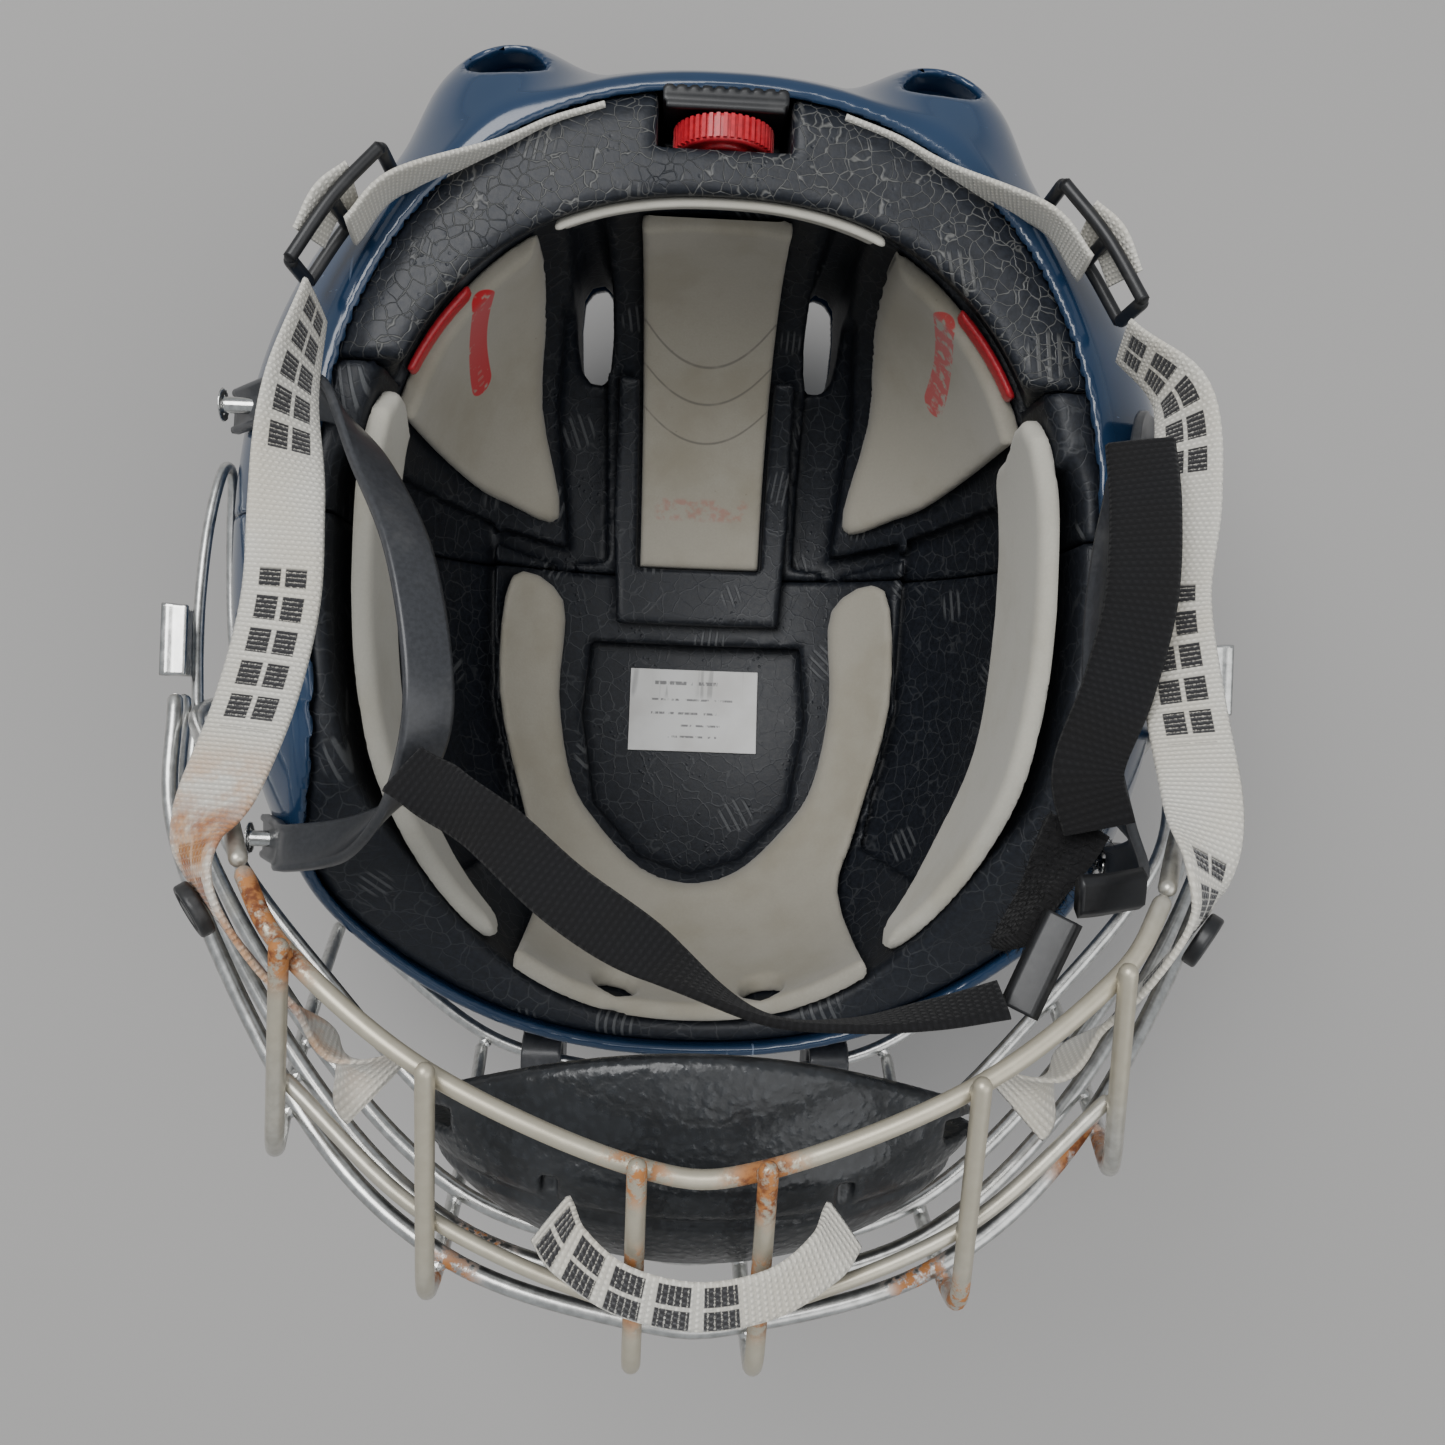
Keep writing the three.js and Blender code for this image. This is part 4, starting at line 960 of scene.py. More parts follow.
def liner_front_field(x, y, z):
    return both(liner_field(x, y, z), y - SPLIT_Y + GAP, 1.2)


def liner_rear_field(x, y, z):
    body = both(liner_field(x, y, z), SPLIT_Y - y, 1.2)
    return both(body, -np.maximum(BAND_START_Y - GAP - y, BAND_LOW_Z - GAP - z), 0.8)


def band_field(x, y, z):
    outer = wall_face(SHELL_WALL + GAP, x, y, z)
    inner = bowl(BAND_FACE, x, y, z, BAND_TUCK, BAND_BACK_TUCK)
    body = both(outer, -inner, 2.0)
    body = both(body, above_rim(y, z, -1.0), 5.0)
    body = both(body, BAND_START_Y - y, 1.5)
    body = both(body, BAND_LOW_Z - z, 1.5)
    notch = np.maximum(np.maximum(np.abs(x) - 16, np.abs(y - 111.75) - 10.75), 123 - z)
    return both(body, -notch, 2.0)


CROWN_BLOCK = [(-27, 70), (27, 70), (28, 30), (26, -4), (-26, -4), (-28, 30)]
CROWN_PAD = [(-20, 100), (20, 100), (19, 14.6), (-19, 14.6)]


def crown_block_field(x, y, z):
    lift = both(bowl(grown(FIT, PAD_THICK), x, y, z), -bowl(grown(FIT, -1), x, y, z), 1.5)
    body = both(lift, outline(CROWN_BLOCK, x, y), 2.0)
    pocket = outline([(-21.2, 100), (21.2, 100), (20, 14), (-20, 14)], x, y)
    body = both(body, -np.maximum(pocket, bowl(grown(FIT, PAD_THICK + 1), x, y, z)), 0.8)
    for side in (-1, 1):
        slot = outline(smooth_loop(mirrored(ROOF_VENT, side), 3), x, y)
        body = both(body, -slot, 1.0)
    return both(body, z - 100, 1.0)


def pad_field(points, low, high, round_by=3.0, holes=(), drop=3.0):
    def field(x, y, z):
        back = bowl(grown(FIT, PAD_THICK), x, y, z)
        face = bowl(FIT, x, y, z)
        edge = np.maximum(outline(points, x, y), np.maximum(low - z, z - high))
        edge = np.maximum(edge, above_rim(y, z, drop))
        body = both(both(back, edge, 0.8), -face, 0.0)
        body = both(body, both(edge, -face, round_by), 0.0)
        for hole in holes:
            body = both(body, -hole(x, y, z), 1.6)
        return body
    return field


REAR_PAD = [(45, 28), (60, 30), (70, 34), (84, 46), (90, 62), (70, 100), (46, 100), (47, 84), (50, 59)]
FOREHEAD_PAD = [(-43, 2), (-58, 8), (-60, -28), (-50, -66), (-44, -84), (-46, -110), (-20, -140), (20, -140),
                (46, -110), (44, -84), (50, -66), (60, -28), (58, 8), (43, 2), (43, -28), (38, -54), (29, -68),
                (15, -81), (0, -85), (-15, -81), (-29, -68), (-38, -54), (-43, -28)]
# the lower edge of each side pad hangs at its own height
SIDE_PAD_LOW = {-1: 112, 1: 101}


def side_pad_profile(low):
    return [(37, 118), (37, 145), (-38, 145), (-62, 136), (-92, 112), (-91, 102), (-66, low - 6), (-40, low),
            (-14, low), (20, low + 3), (34, low + 6)]


def rear_pad_field(side):
    return pad_field(smooth_loop(mirrored(REAR_PAD, side), 4), 30, 122)


def forehead_hole(side):
    def hole(x, y, z):
        return np.sqrt(((x - side * 20.2) / 6.2) ** 2 + ((z - 97.5) / 8.0) ** 2 + 1e-9) * 6.2 - 6.2
    return hole


def forehead_field():
    holes = (forehead_hole(-1), forehead_hole(1))
    return pad_field(smooth_loop(FOREHEAD_PAD, 4), 10, 118, holes=holes, drop=0.3)


def side_pad_field(side):
    profile = smooth_loop(side_pad_profile(SIDE_PAD_LOW[side]), 4)

    def field(x, y, z):
        back = bowl(grown(FIT, PAD_THICK), x, y, z)
        face = bowl(FIT, x, y, z)
        edge = np.maximum(outline(profile, y, z), 52 - side * x)
        edge = np.maximum(edge, above_rim(y, z, 3.0))
        edge = np.maximum(edge, -np.maximum(BAND_START_Y - GAP - y, BAND_LOW_Z - GAP - z))
        return both(both(back, edge, 0.8), both(edge, -face, 3.2), 0.0)
    return field


def nape_field(x, y, z):
    back = bowl(grown(BAND_FACE, -GAP), x, y, z, BAND_TUCK, BAND_BACK_TUCK)
    face = bowl(grown(BAND_FACE, -3), x, y, z, BAND_TUCK, BAND_BACK_TUCK)
    body = both(both(back, -face, 1.2), np.maximum(np.abs(x) - 40, 60 - y), 2.0)
    return both(both(body, z - 147, 1.4), 124 - z, 1.0)


LABEL_HALF, LABEL_FRONT, LABEL_BACK = 21.0, -45.0, -18.0


def label_field(x, y, z):
    top = bowl(grown(FIT, 9.6, 6.6, 12.6), x, y, z - GAP)
    under = bowl(grown(FIT, 10, 7, 13), x, y, z - GAP)
    middle, reach = (LABEL_FRONT + LABEL_BACK) / 2, (LABEL_BACK - LABEL_FRONT) / 2
    edge = np.maximum(np.abs(x) - LABEL_HALF, np.abs(y - middle) - reach)
    return np.maximum(np.maximum(under, -top), both(edge, z - 80, 1.0))


# ---------------------------------------------------------------------------
# Fittings
# ---------------------------------------------------------------------------
DIAL_Y, DIAL_Z, DIAL_RADIUS, DIAL_THICK = 106.0, 140.0, 12.3, 6.4


def dial_field(x, y, z):
    out = np.hypot(x, z - DIAL_Z)
    rim = both(out - DIAL_RADIUS + 0.9, np.abs(y - DIAL_Y) - DIAL_THICK / 2, 0.8)
    groove = np.maximum(np.abs(out - 8.0) - 1.6, DIAL_THICK / 2 - 1.0 - np.abs(y - DIAL_Y))
    return both(both(rim, -groove, 0.5), 2.8 - out, 0.3)


def housing_field(x, y, z):
    back = box((0, DIAL_Y + 7.6, DIAL_Z - 1.5), (15, 1.85, 12.5), x, y, z)
    floor = box((0, DIAL_Y + 2.4, DIAL_Z - 14.5), (15, 7, 1.2), x, y, z)
    pin = np.maximum(np.hypot(x, z - DIAL_Z) - 2.5, np.abs(y - DIAL_Y - 1.3) - 5.7)
    cheek = box((0, DIAL_Y + 5.3, DIAL_Z + 10.2), (14.2, 1.2, 0.7), x, y, z)
    body = either(either(back, floor, 1.6), either(pin, cheek, 0.4), 0.8)
    ribs = np.abs((x + 1.5) % 3.0 - 1.5) - 0.35
    return both(body, -np.maximum(ribs, np.maximum(DIAL_Z + 10.2 - z, DIAL_Y + 8.6 - y)), 0.3)


def arm_field(side):
    def field(x, y, z):
        outer = bowl({"half": 85.2, "front": 90.0, "back": 90.6, "depth": 90.0}, x, y, z)
        inner = bowl({"half": 83.4, "front": 90.0, "back": 88.8, "depth": 90.0}, x, y, z)
        plan = outline(mirrored([(62, 110), (62, 50), (90, 50), (90, 110)], side), x, y)
        body = both(both(outer, -inner, 0.8), plan, 1.5)
        return both(body, np.abs(z - 126.5) - 3.0, 1.0)
    return field


def shell_reach(y, z):
    """Distance of the shell's outer face from the middle plane."""
    low = max(0.0, BELT_Z - z) / SHELL["depth"]
    level = (1 - low**ROUNDNESS) ** (1 / ROUNDNESS)
    lean = ((min(z, RIM_Z) - BELT_Z) / (RIM_Z - BELT_Z)) ** 2 if z > BELT_Z else 0
    half = SHELL["half"] * (1 - TUCK * lean) * level
    run = (SHELL["front"] if y < CENTRE_Y else SHELL["back"] * (1 - BACK_TUCK * lean)) * level
    return half * (1 - (abs(y - CENTRE_Y) / run) ** ROUNDNESS) ** (1 / ROUNDNESS)


def tab_x(spot, drop=0.0):
    y, z = spot
    return shell_reach(y + (3 if y < 0 else -4), z - drop) + 2.7


TAB_DROP = 8.0
LOOP_START = [
    (tab_x(LOOP_REAR, TAB_DROP), LOOP_REAR[0], LOOP_REAR[1] - TAB_DROP, 0, 1, 0),
    (tab_x(LOOP_REAR, -TAB_DROP) + 1, LOOP_REAR[0], LOOP_REAR[1] + TAB_DROP, 0, 1, 0),
]
LOOP_END = [
    (tab_x(LOOP_FRONT, -TAB_DROP) + 1, LOOP_FRONT[0], LOOP_FRONT[1] + TAB_DROP, 0, -1, 0),
    (tab_x(LOOP_FRONT, TAB_DROP), LOOP_FRONT[0], LOOP_FRONT[1] - TAB_DROP, 0, -1, 0),
]
# the left loop has fallen inwards, the right one stands on edge
EAR_LOOP = {
    "left": LOOP_START + [
        (97, 38, 154, 0.1, 0.9, 0.2), (86, 33, 159, 0.4, 0.6, 0.5), (75.5, 18, 168, 0.7, 0.2, 0.5),
        (65.7, 0, 178, 0.75, 0.1, 0.5), (60, -22, 184, 0.75, 0.1, 0.5), (59.5, -39, 184, 0.75, -0.1, 0.5),
        (66, -54, 176, 0.6, -0.5, 0.5), (79, -64, 163, 0.3, -0.8, 0.3), (96, -68, 152, 0.1, -0.9, 0.2),
    ] + LOOP_END,
    "right": LOOP_START + [
        (101, 37, 153, 0.1, 0.9, 0.2), (95.5, 29, 160, 0.2, 0.5, 0.8), (92, 20, 168, 0.2, 0.1, 1),
        (86.8, 3, 177, 0.2, 0, 1), (83.8, -16, 183, 0.2, 0, 1), (85.5, -36, 182, 0.2, 0, 1),
        (93, -52, 173, 0.2, -0.3, 1), (102, -63, 161, 0.1, -0.8, 0.5),
    ] + LOOP_END,
}
LOOP_SECTION = [(-5.5, 0.9), (-4.9, 1.25), (-4.1, 1.2), (-3.5, 0.55), (0, 0.45), (3.5, 0.55), (4.1, 1.2), (4.9, 1.25),
                (5.5, 0.9), (5.5, -0.9), (4.6, -1.1), (0, -1.0), (-4.6, -1.1), (-5.5, -0.9)]


def screw_mesh(name, head_at, inward, radius=5.0, thick=1.2, reach=9.0):
    """A domed screw with a crossed slot; its head's face is at head_at and its shank points inward."""
    def field(x, y, z):
        out = np.hypot(x, y)
        dome = both(out - radius, np.abs(z - thick / 2) - thick / 2, 0.9)
        dome = both(dome, np.sqrt(x * x + y * y + (z - 9.6) ** 2) - 9.7, 0.2)
        cross = np.minimum(np.maximum(np.abs(x) - 0.55, np.abs(y) - 2.6),
                           np.maximum(np.abs(y) - 0.55, np.abs(x) - 2.6))
        dome = both(dome, -np.maximum(cross, z - 1.1), 0.15)
        shank = (reach - thick) / 2
        return np.minimum(dome, np.maximum(out - 2.0, np.abs(z - thick - shank) - shank - 0.2))
    step = 0.45
    vertices, quads = skin_of(field, (-6, -6, -1), (6, 6, 10), step)
    vertices = settle(field, vertices, step)
    turn = Vector((0, 0, 1)).rotation_difference(Vector(inward).normalized()).to_matrix()
    vertices = vertices @ np.array(turn).T + np.array(head_at)
    return new_object(name, vertices, quads, FINISH["chrome"])


# ---------------------------------------------------------------------------
# Cage
# ---------------------------------------------------------------------------
CAGE_PITCH = WIRE * 2 + GAP
SHELF_DROP = WIRE + THIN_WIRE + GAP + 0.2
UPRIGHTS = {
    "outer": ((73.2, -74.5, 241), (78, -118, 221), (90, -112, 160), (97.5, -95.5, 88)),
    "middle": ((46.9, -93.5, 247), (48.6, -141, 227), (52, -147, 160), (57, -128, 88)),
    "inner": ((11, -108, 249), (11, -152, 231), (11.5, -158, 160), (13, -138, 88)),
}
SIDE_FRAME = [
    (84.4, -63.4, 227.2), (92, -55, 211), (103, -46, 188), (113, -40, 166), (118.5, -37, 148), (120.5, -35, 128),
    (120.6, -36, 110), (116.8, -52, 96), (110, -68, 90.5), (103.6, -78.6, 88.6),
]
SIDE_LOOP = [
    (121, -37, 142), (124.5, -15, 133), (125, 8, 127), (123.8, 24, 121), (123.8, 24, 113), (125, 8, 108),
    (124.5, -15, 106), (121, -36.5, 108),
]
FACE_BARS = [(215, 160), (197, 145), (179, 130), (146, 114)]


def toward(start, end, distance):
    start = Vector(start)
    return start + (Vector(end) - start).normalized() * distance


def quadratic(a, b, c, cuts):
    rows = []
    for i in range(cuts + 1):
        t = i / cuts
        rows.append(Vector(a) * (1 - t) ** 2 + Vector(b) * 2 * t * (1 - t) + Vector(c) * t * t)
    return rows


def upright_run(place, cuts=60):
    _, bend, belly, brow = UPRIGHTS[place]
    return quadratic(toward(bend, belly, 7), belly, brow, cuts)


def upright_points(place):
    top, bend, belly, _ = UPRIGHTS[place]
    before = toward(bend, top, 7)
    after = toward(bend, belly, 7)
    straight = [Vector(top).lerp(before, i / 6) for i in range(6)]
    return [tuple(p) for p in straight + quadratic(before, bend, after, 6)[:-1] + upright_run(place, 18)]


def upright_at(place, z):
    run = upright_run(place, 200)
    return min(run, key=lambda p: abs(p.z - z))


def inside_of(place, z, by=CAGE_PITCH):
    spot = upright_at(place, z)
    inward = Vector((0, -30, 0)) - spot
    inward.z = 0
    return tuple(spot + inward.normalized() * by)


def under_shelf(place, y, below):
    top, bend = UPRIGHTS[place][:2]
    t = (y - top[1]) / (bend[1] - top[1])
    return (top[0] + (bend[0] - top[0]) * t, y, top[2] + (bend[2] - top[2]) * t - below)


def both_sides(points):
    return flipped(points) + list(points)[::-1]


CHIN_BAR = both_sides([(84, -64, 228)] + [under_shelf(p, y, CAGE_PITCH + 0.6) for p, y in
                                          (("outer", -77.5), ("middle", -96.5), ("inner", -111))])
SHELF_BAR = both_sides([under_shelf(p, y, SHELF_DROP) for p, y in
                        (("outer", -102), ("middle", -125), ("inner", -139.5))])
BROW_BAR = both_sides([(102.6, -80.6, 88)] + [inside_of(p, 89) for p in UPRIGHTS])


def side_frame_x(z):
    return 116.0 if z > 150 else 119.2 if z > 140 else 121.0


def face_bar(front, side):
    x = side_frame_x(side)
    return both_sides([(x + CAGE_PITCH + 0.3, -33, side), (x - 1.5, -66, side + 11), inside_of("outer", front - 13),
                       inside_of("middle", front - 3), inside_of("inner", front)])


def weld_points():
    """Where two wires of the cage touch."""
    spots = []
    for front, _ in FACE_BARS:
        for place, drop in (("outer", 13), ("middle", 3), ("inner", 0)):
            spots.append(inside_of(place, front - drop, CAGE_PITCH / 2))
    spots += [inside_of(place, 89, CAGE_PITCH / 2) for place in UPRIGHTS]
    on_chin_bar = (("outer", -77.5), ("middle", -96.5), ("inner", -111))
    on_shelf_bar = (("outer", -102), ("middle", -125), ("inner", -139.5))
    spots += [under_shelf(p, y, CAGE_PITCH / 2) for p, y in on_chin_bar]
    spots += [under_shelf(p, y, SHELF_DROP / 2) for p, y in on_shelf_bar]
    return spots + flipped(spots)


BROW_CLIP_X = 40.0
CLIP_WIDTH, CLIP_HOLE, CLIP_WALL, CLIP_LOW = 11.0, 3.9, 2.6, 68.0
CLIP_SCREW_Z = 76.0


def bar_in_clip():
    rows, _ = through(BROW_BAR, 400)
    return min(rows, key=lambda p: abs(p[0] + BROW_CLIP_X))


def brow_clip_field(side):
    _, bar_y, bar_z = bar_in_clip()
    nose = bar_y - CLIP_HOLE - CLIP_WALL
    top = bar_z + CLIP_HOLE + CLIP_WALL

    def field(x, y, z):
        tall = np.abs(z - (top + CLIP_LOW) / 2) - (top - CLIP_LOW) / 2
        deep = np.abs(y - nose - 8) - 8
        body = np.maximum(np.abs(x - side * BROW_CLIP_X) - CLIP_WIDTH / 2, np.maximum(deep, tall))
        curl = rod_along_x(bar_y, bar_z, CLIP_HOLE + CLIP_WALL, y, z)
        body = both(body, np.where(z > bar_z, curl, -5.0), 0.6)
        body = both(body, CLIP_HOLE - np.hypot(y - bar_y, z - bar_z), 0.4)
        return both(body, -bowl(grown(SHELL, GAP), x, y, z, TUCK, BACK_TUCK), 0.4)
    return field


def side_clip_field(side):
    def field(x, y, z):
        u = side * x
        plate = both(np.maximum(np.abs(u - 129) - 0.8, np.abs(y + 20) - 8.5), np.abs(z - 129.5) - 13.5, 1.2)
        lip = box((126.8, -20, 143), (3, 8.5, 0.8), u, y, z)
        roll = np.maximum(np.hypot(u - 128.4, z - 142.2) - 1.7, np.abs(y + 20) - 8.5)
        body = either(either(plate, lip, 0.8), roll, 0.6)
        bead = np.maximum(np.hypot(u - 130.2, z - 131.0) - 1.6, np.abs(y + 20) - 6.0)
        body = either(body, np.maximum(bead, 128.4 - u), 0.5)
        return both(body, -box((129, -20, 121.5), (4, 4, 3.5), u, y, z), 0.3)
    return field


# ---------------------------------------------------------------------------
# Straps and the chin cup
# ---------------------------------------------------------------------------
WEBBING = 1.2


def inside_rim(degrees, z):
    angle = math.radians(degrees)
    reach = 1 / (abs(math.cos(angle)) ** ROUNDNESS + abs(math.sin(angle)) ** ROUNDNESS) ** (1 / ROUNDNESS)
    half = (SHELL["half"] - SHELL_WALL) * (1 - TUCK) - 3.0
    back = (SHELL["back"] - SHELL_WALL) * (1 - BACK_TUCK) - 3.0
    return (half * reach * math.cos(angle), CENTRE_Y + back * reach * math.sin(angle), z, 0, 0, 1)


STRAP_REAR = [inside_rim(72, 145), inside_rim(64, 145.5), inside_rim(56, 148), (75.5, 86.5, 156.5, 0, 0, 1),
              (85, 74, 159, 0, 0.1, 1)]
STRAP_END = [
    (94, -60, 221.5, 0.7, 0.2, -0.7), (92.5, -68, 222.5, 0.6, 0.3, -0.75), (86, -79, 220.5, 0.6, 0.5, -0.5),
    (77, -90.5, 217.5, 0.7, 0.7, 0), (67, -101, 215, 0.7, 0.7, 0.1), (61, -107.5, 213.5, 0.7, 0.65, 0.2),
]
# the tail that is folded back round the slide's outer bar
STRAP_FOLD = [
    (84.5, 84.5, 161, 0.2, 0.2, 0.95), (89.5, 79, 163, 0.2, 0.2, 0.95), (93.5, 71, 162, 0.2, 0.2, 0.95),
]
STRAP_FRONT_LEFT = [
    (-91.5, 57, 162, -0.1, 0.1, 1), (-93.5, 34, 171, -0.5, 0, 0.8), (-91.6, 9.3, 179, -0.9, 0, 0.35),
    (-89.6, -12.9, 188, -1, 0, 0.2), (-90.2, -33.9, 201, -1, 0, 0.1), (-92, -51, 216, -0.95, 0.1, -0.2),
] + on_side(STRAP_END, -1)
STRAP_FRONT_RIGHT = [
    (94, 57, 161, 0.1, 0.1, 1), (105.2, 42, 168.5, 0.5, 0, 0.8), (104, 18, 176.5, 0.8, 0, 0.5),
    (99, -5, 185, 0.85, 0, 0.5), (97.8, -27, 197, 0.85, 0, 0.4), (96.3, -46, 212, 0.95, 0.1, 0),
] + STRAP_END
SLIDE = [(77.5, 92.5, 155, 0, 0, 1), (87.5, 79, 158, 0, 0.05, 1), (96.5, 63.5, 159.5, 0.05, 0.1, 1)]
CUP_STRAP = [
    (-26, -123.5, 234, 0.75, 0.55, 0.4), (-22, -127, 240, 0.6, 0.7, 0.4), (-13, -131.5, 244.6, 0.3, 0.9, 0.4),
    (0, -133.5, 246.2, 0, 1, 0.4), (13, -131.5, 244.6, -0.3, 0.9, 0.4), (22, -127, 240, -0.6, 0.7, 0.4),
    (26, -123.5, 234, -0.75, 0.55, 0.4),
]
CHIN_STRAP = [
    (-63, -47, 190, 0.6, -0.55, 0.3), (-54, -52, 192.5, 0.5, -0.7, 0.3), (-42, -59, 199, 0.45, -0.8, 0.3),
    (-27, -70.5, 205.5, 0.45, -0.8, 0.35), (-8, -81, 213, 0.35, -0.6, 0.6), (11, -90.6, 216.8, 0, 0.1, 1),
    (28, -91.6, 217.5, 0, 0.1, 1), (44, -89, 217.5, -0.1, -0.2, 1), (57, -85.5, 218.8, -0.2, -0.4, 0.9),
]
EAR_STRAP = [
    (93, 30, 178, 0.9, 0.4, 0.1), (92, 14, 186, 0.9, 0.2, 0.3), (89, -6, 194, 0.9, 0, 0.4),
    (84, -25, 196.5, 0.85, 0, 0.4), (78, -42, 197.5, 0.8, 0, 0.5), (80, -54, 200, 0.8, 0, 0.5),
]
SLEEVE = [(79, -54, 189, 0.8, 0.1, 0.5), (72, -66, 192, 0.6, 0.5, 0.4), (63, -78, 198, 0.5, 0.6, 0.4)]
BUCKLE = [
    (61.5, -89, 212.5, 0.85, -0.35, 0.3), (66, -79, 212, 0.85, -0.35, 0.3), (70, -70.5, 211.5, 0.85, -0.35, 0.3),
]
LEVER = [(73, -66.5, 211, 0.3, 0.9, 0.1), (79, -66, 209.5, 0.3, 0.9, 0.1), (87, -65, 206, 0.2, 0.9, 0.1)]
CUP_CENTRE, CUP_RADII, CUP_WALL, CUP_BACK, CUP_BOW = (0, -98, 203), (59, 43, 34), 5.0, -93.0, 0.0042


def cup_field(x, y, z):
    """A bowl for the chin, with a dished top inside a thin bright rim and slots for the straps."""
    outer = ball(CUP_CENTRE, CUP_RADII, x, y, z)
    hollow = ball((0, -98, 201), tuple(r - CUP_WALL for r in CUP_RADII), x, y, z)
    level = np.hypot(x / 47, (y + 103) / 16)
    outer = outer + np.where(z > 215, 1.2 * (np.clip((1.0 - level) * 5, 0, 1)), 0)
    outer = outer + np.where(z > 205, 0.7 * np.exp(-((level - 1.42) * 16) ** 2), 0)
    body = both(outer, -hollow, 1.6)
    edge = np.interp(z, [150, 180, 215, 260], [-112, -112, CUP_BACK - 2, CUP_BACK]) - CUP_BOW * x * x
    body = both(body, y - edge, 2.2)
    body = both(body, 186 - z, 2.0)
    for side in (-1, 1):
        slot = np.maximum(np.abs(x - side * 27) - 1.6, np.abs(y + 125) - 7)
        body = both(body, -np.maximum(slot, 225 - z), 0.6)
        gap = np.maximum(np.abs(y + 110) - 2.0, np.abs(z - 214) - 9)
        body = both(body, -np.maximum(gap, 46 - side * x), 0.6)
    return body


# ---------------------------------------------------------------------------
# Settings
# ---------------------------------------------------------------------------
def colour(name, description, value):
    return FloatVectorProperty(name=name, description=description, default=value, subtype="COLOR",
                               min=0.0, max=1.0)


class ShellSettings(bpy.types.PropertyGroup):
    """The hard shell."""
    paint: colour("Paint", "Colour of the gloss shell", (0.011, 0.034, 0.080))
    cell: FloatProperty(name="Cell", description="Mesh cell of the shell, in metres", default=0.0014,
                        min=0.001, unit="LENGTH")


class FoamSettings(bpy.types.PropertyGroup):
    """The foam liner and its comfort pads."""
    cell: FloatProperty(name="Cell", description="Mesh cell of the liner, in metres", default=0.0018,
                        min=0.001, unit="LENGTH")
    pad_cell: FloatProperty(name="Pad Cell", description="Mesh cell of the pads, in metres", default=0.0014,
                            min=0.0008, unit="LENGTH")
    skin: colour("Skin", "Colour of the bead foam's skin", (0.006, 0.0075, 0.011))
    # painted shade: this pad colour is a darker copy of the pad foam, given to the pads deep inside the helmet to
    # stand in for the shade that falls there; side_pad below is the same foam as it looks in the light, for the pads
    # near the rim
    pad: colour("Pad", "Colour of the comfort pads", (0.40, 0.375, 0.315))
    side_pad: colour("Side Pad", "Colour of the pads at the temples", (0.52, 0.50, 0.435))
    fill: FloatProperty(name="Fill", description="How tightly the pads are filled", default=1.0,
                        min=0.0, max=1.0)


class CageSettings(bpy.types.PropertyGroup):
    """The wire face cage."""
    patina: colour("Patina", "Colour of the wire where its plating has dulled", (0.50, 0.45, 0.335))
    steps: IntProperty(name="Steps", description="Rings along each wire", default=110, min=20, max=400)
    weld: FloatProperty(name="Weld", description="Radius of a weld bead", default=0.0017, unit="LENGTH")


class StrapSettings(bpy.types.PropertyGroup):
    """The webbing."""
    white: colour("White", "Colour of the elastic webbing", (0.86, 0.83, 0.745))
    motif: colour("Motif", "Colour of the woven blocks", (0.035, 0.034, 0.036))
    black: colour("Black", "Colour of the chin strap", (0.019, 0.019, 0.0205))
    fibres: IntProperty(name="Fibres", description="Loose fibres for each square metre of the sleeve",
                        default=420000, min=0)


class FittingSettings(bpy.types.PropertyGroup):
    """Plastic and metal fittings."""
    dial: colour("Dial", "Colour of the thumbwheel and its arms", (0.52, 0.018, 0.03))
    smoke: colour("Smoke", "Colour of the ear loops", (0.035, 0.037, 0.042))
    black: colour("Black", "Colour of the black mouldings", (0.011, 0.0115, 0.013))
    dial_ribs: IntProperty(name="Dial Ribs", description="Ribs round the thumbwheel", default=44, min=8)


class StageSettings(bpy.types.PropertyGroup):
    """Floor, lights and camera."""
    floor: colour("Floor", "Colour of the floor", (0.40, 0.39, 0.38))
    key: FloatProperty(name="Key", description="Power of the main light, in watts", default=26.0, min=0.0)
    fill: FloatProperty(name="Fill", description="Power of the fill light, in watts", default=11.0, min=0.0)
    lens: FloatProperty(name="Lens", description="Focal length for a 36 mm sensor, in millimetres",
                        default=34.65)


class HelmetSettings(bpy.types.PropertyGroup):
    """All settings of the helmet."""
    shell: PointerProperty(type=ShellSettings, name="Shell", description="The hard shell")
    foam: PointerProperty(type=FoamSettings, name="Foam", description="Liner and pads")
    cage: PointerProperty(type=CageSettings, name="Cage", description="The wire face cage")
    strap: PointerProperty(type=StrapSettings, name="Straps", description="The webbing")
    fitting: PointerProperty(type=FittingSettings, name="Fittings", description="Plastic and metal fittings")
    stage: PointerProperty(type=StageSettings, name="Stage", description="Floor, lights and camera")


FINISH = {}


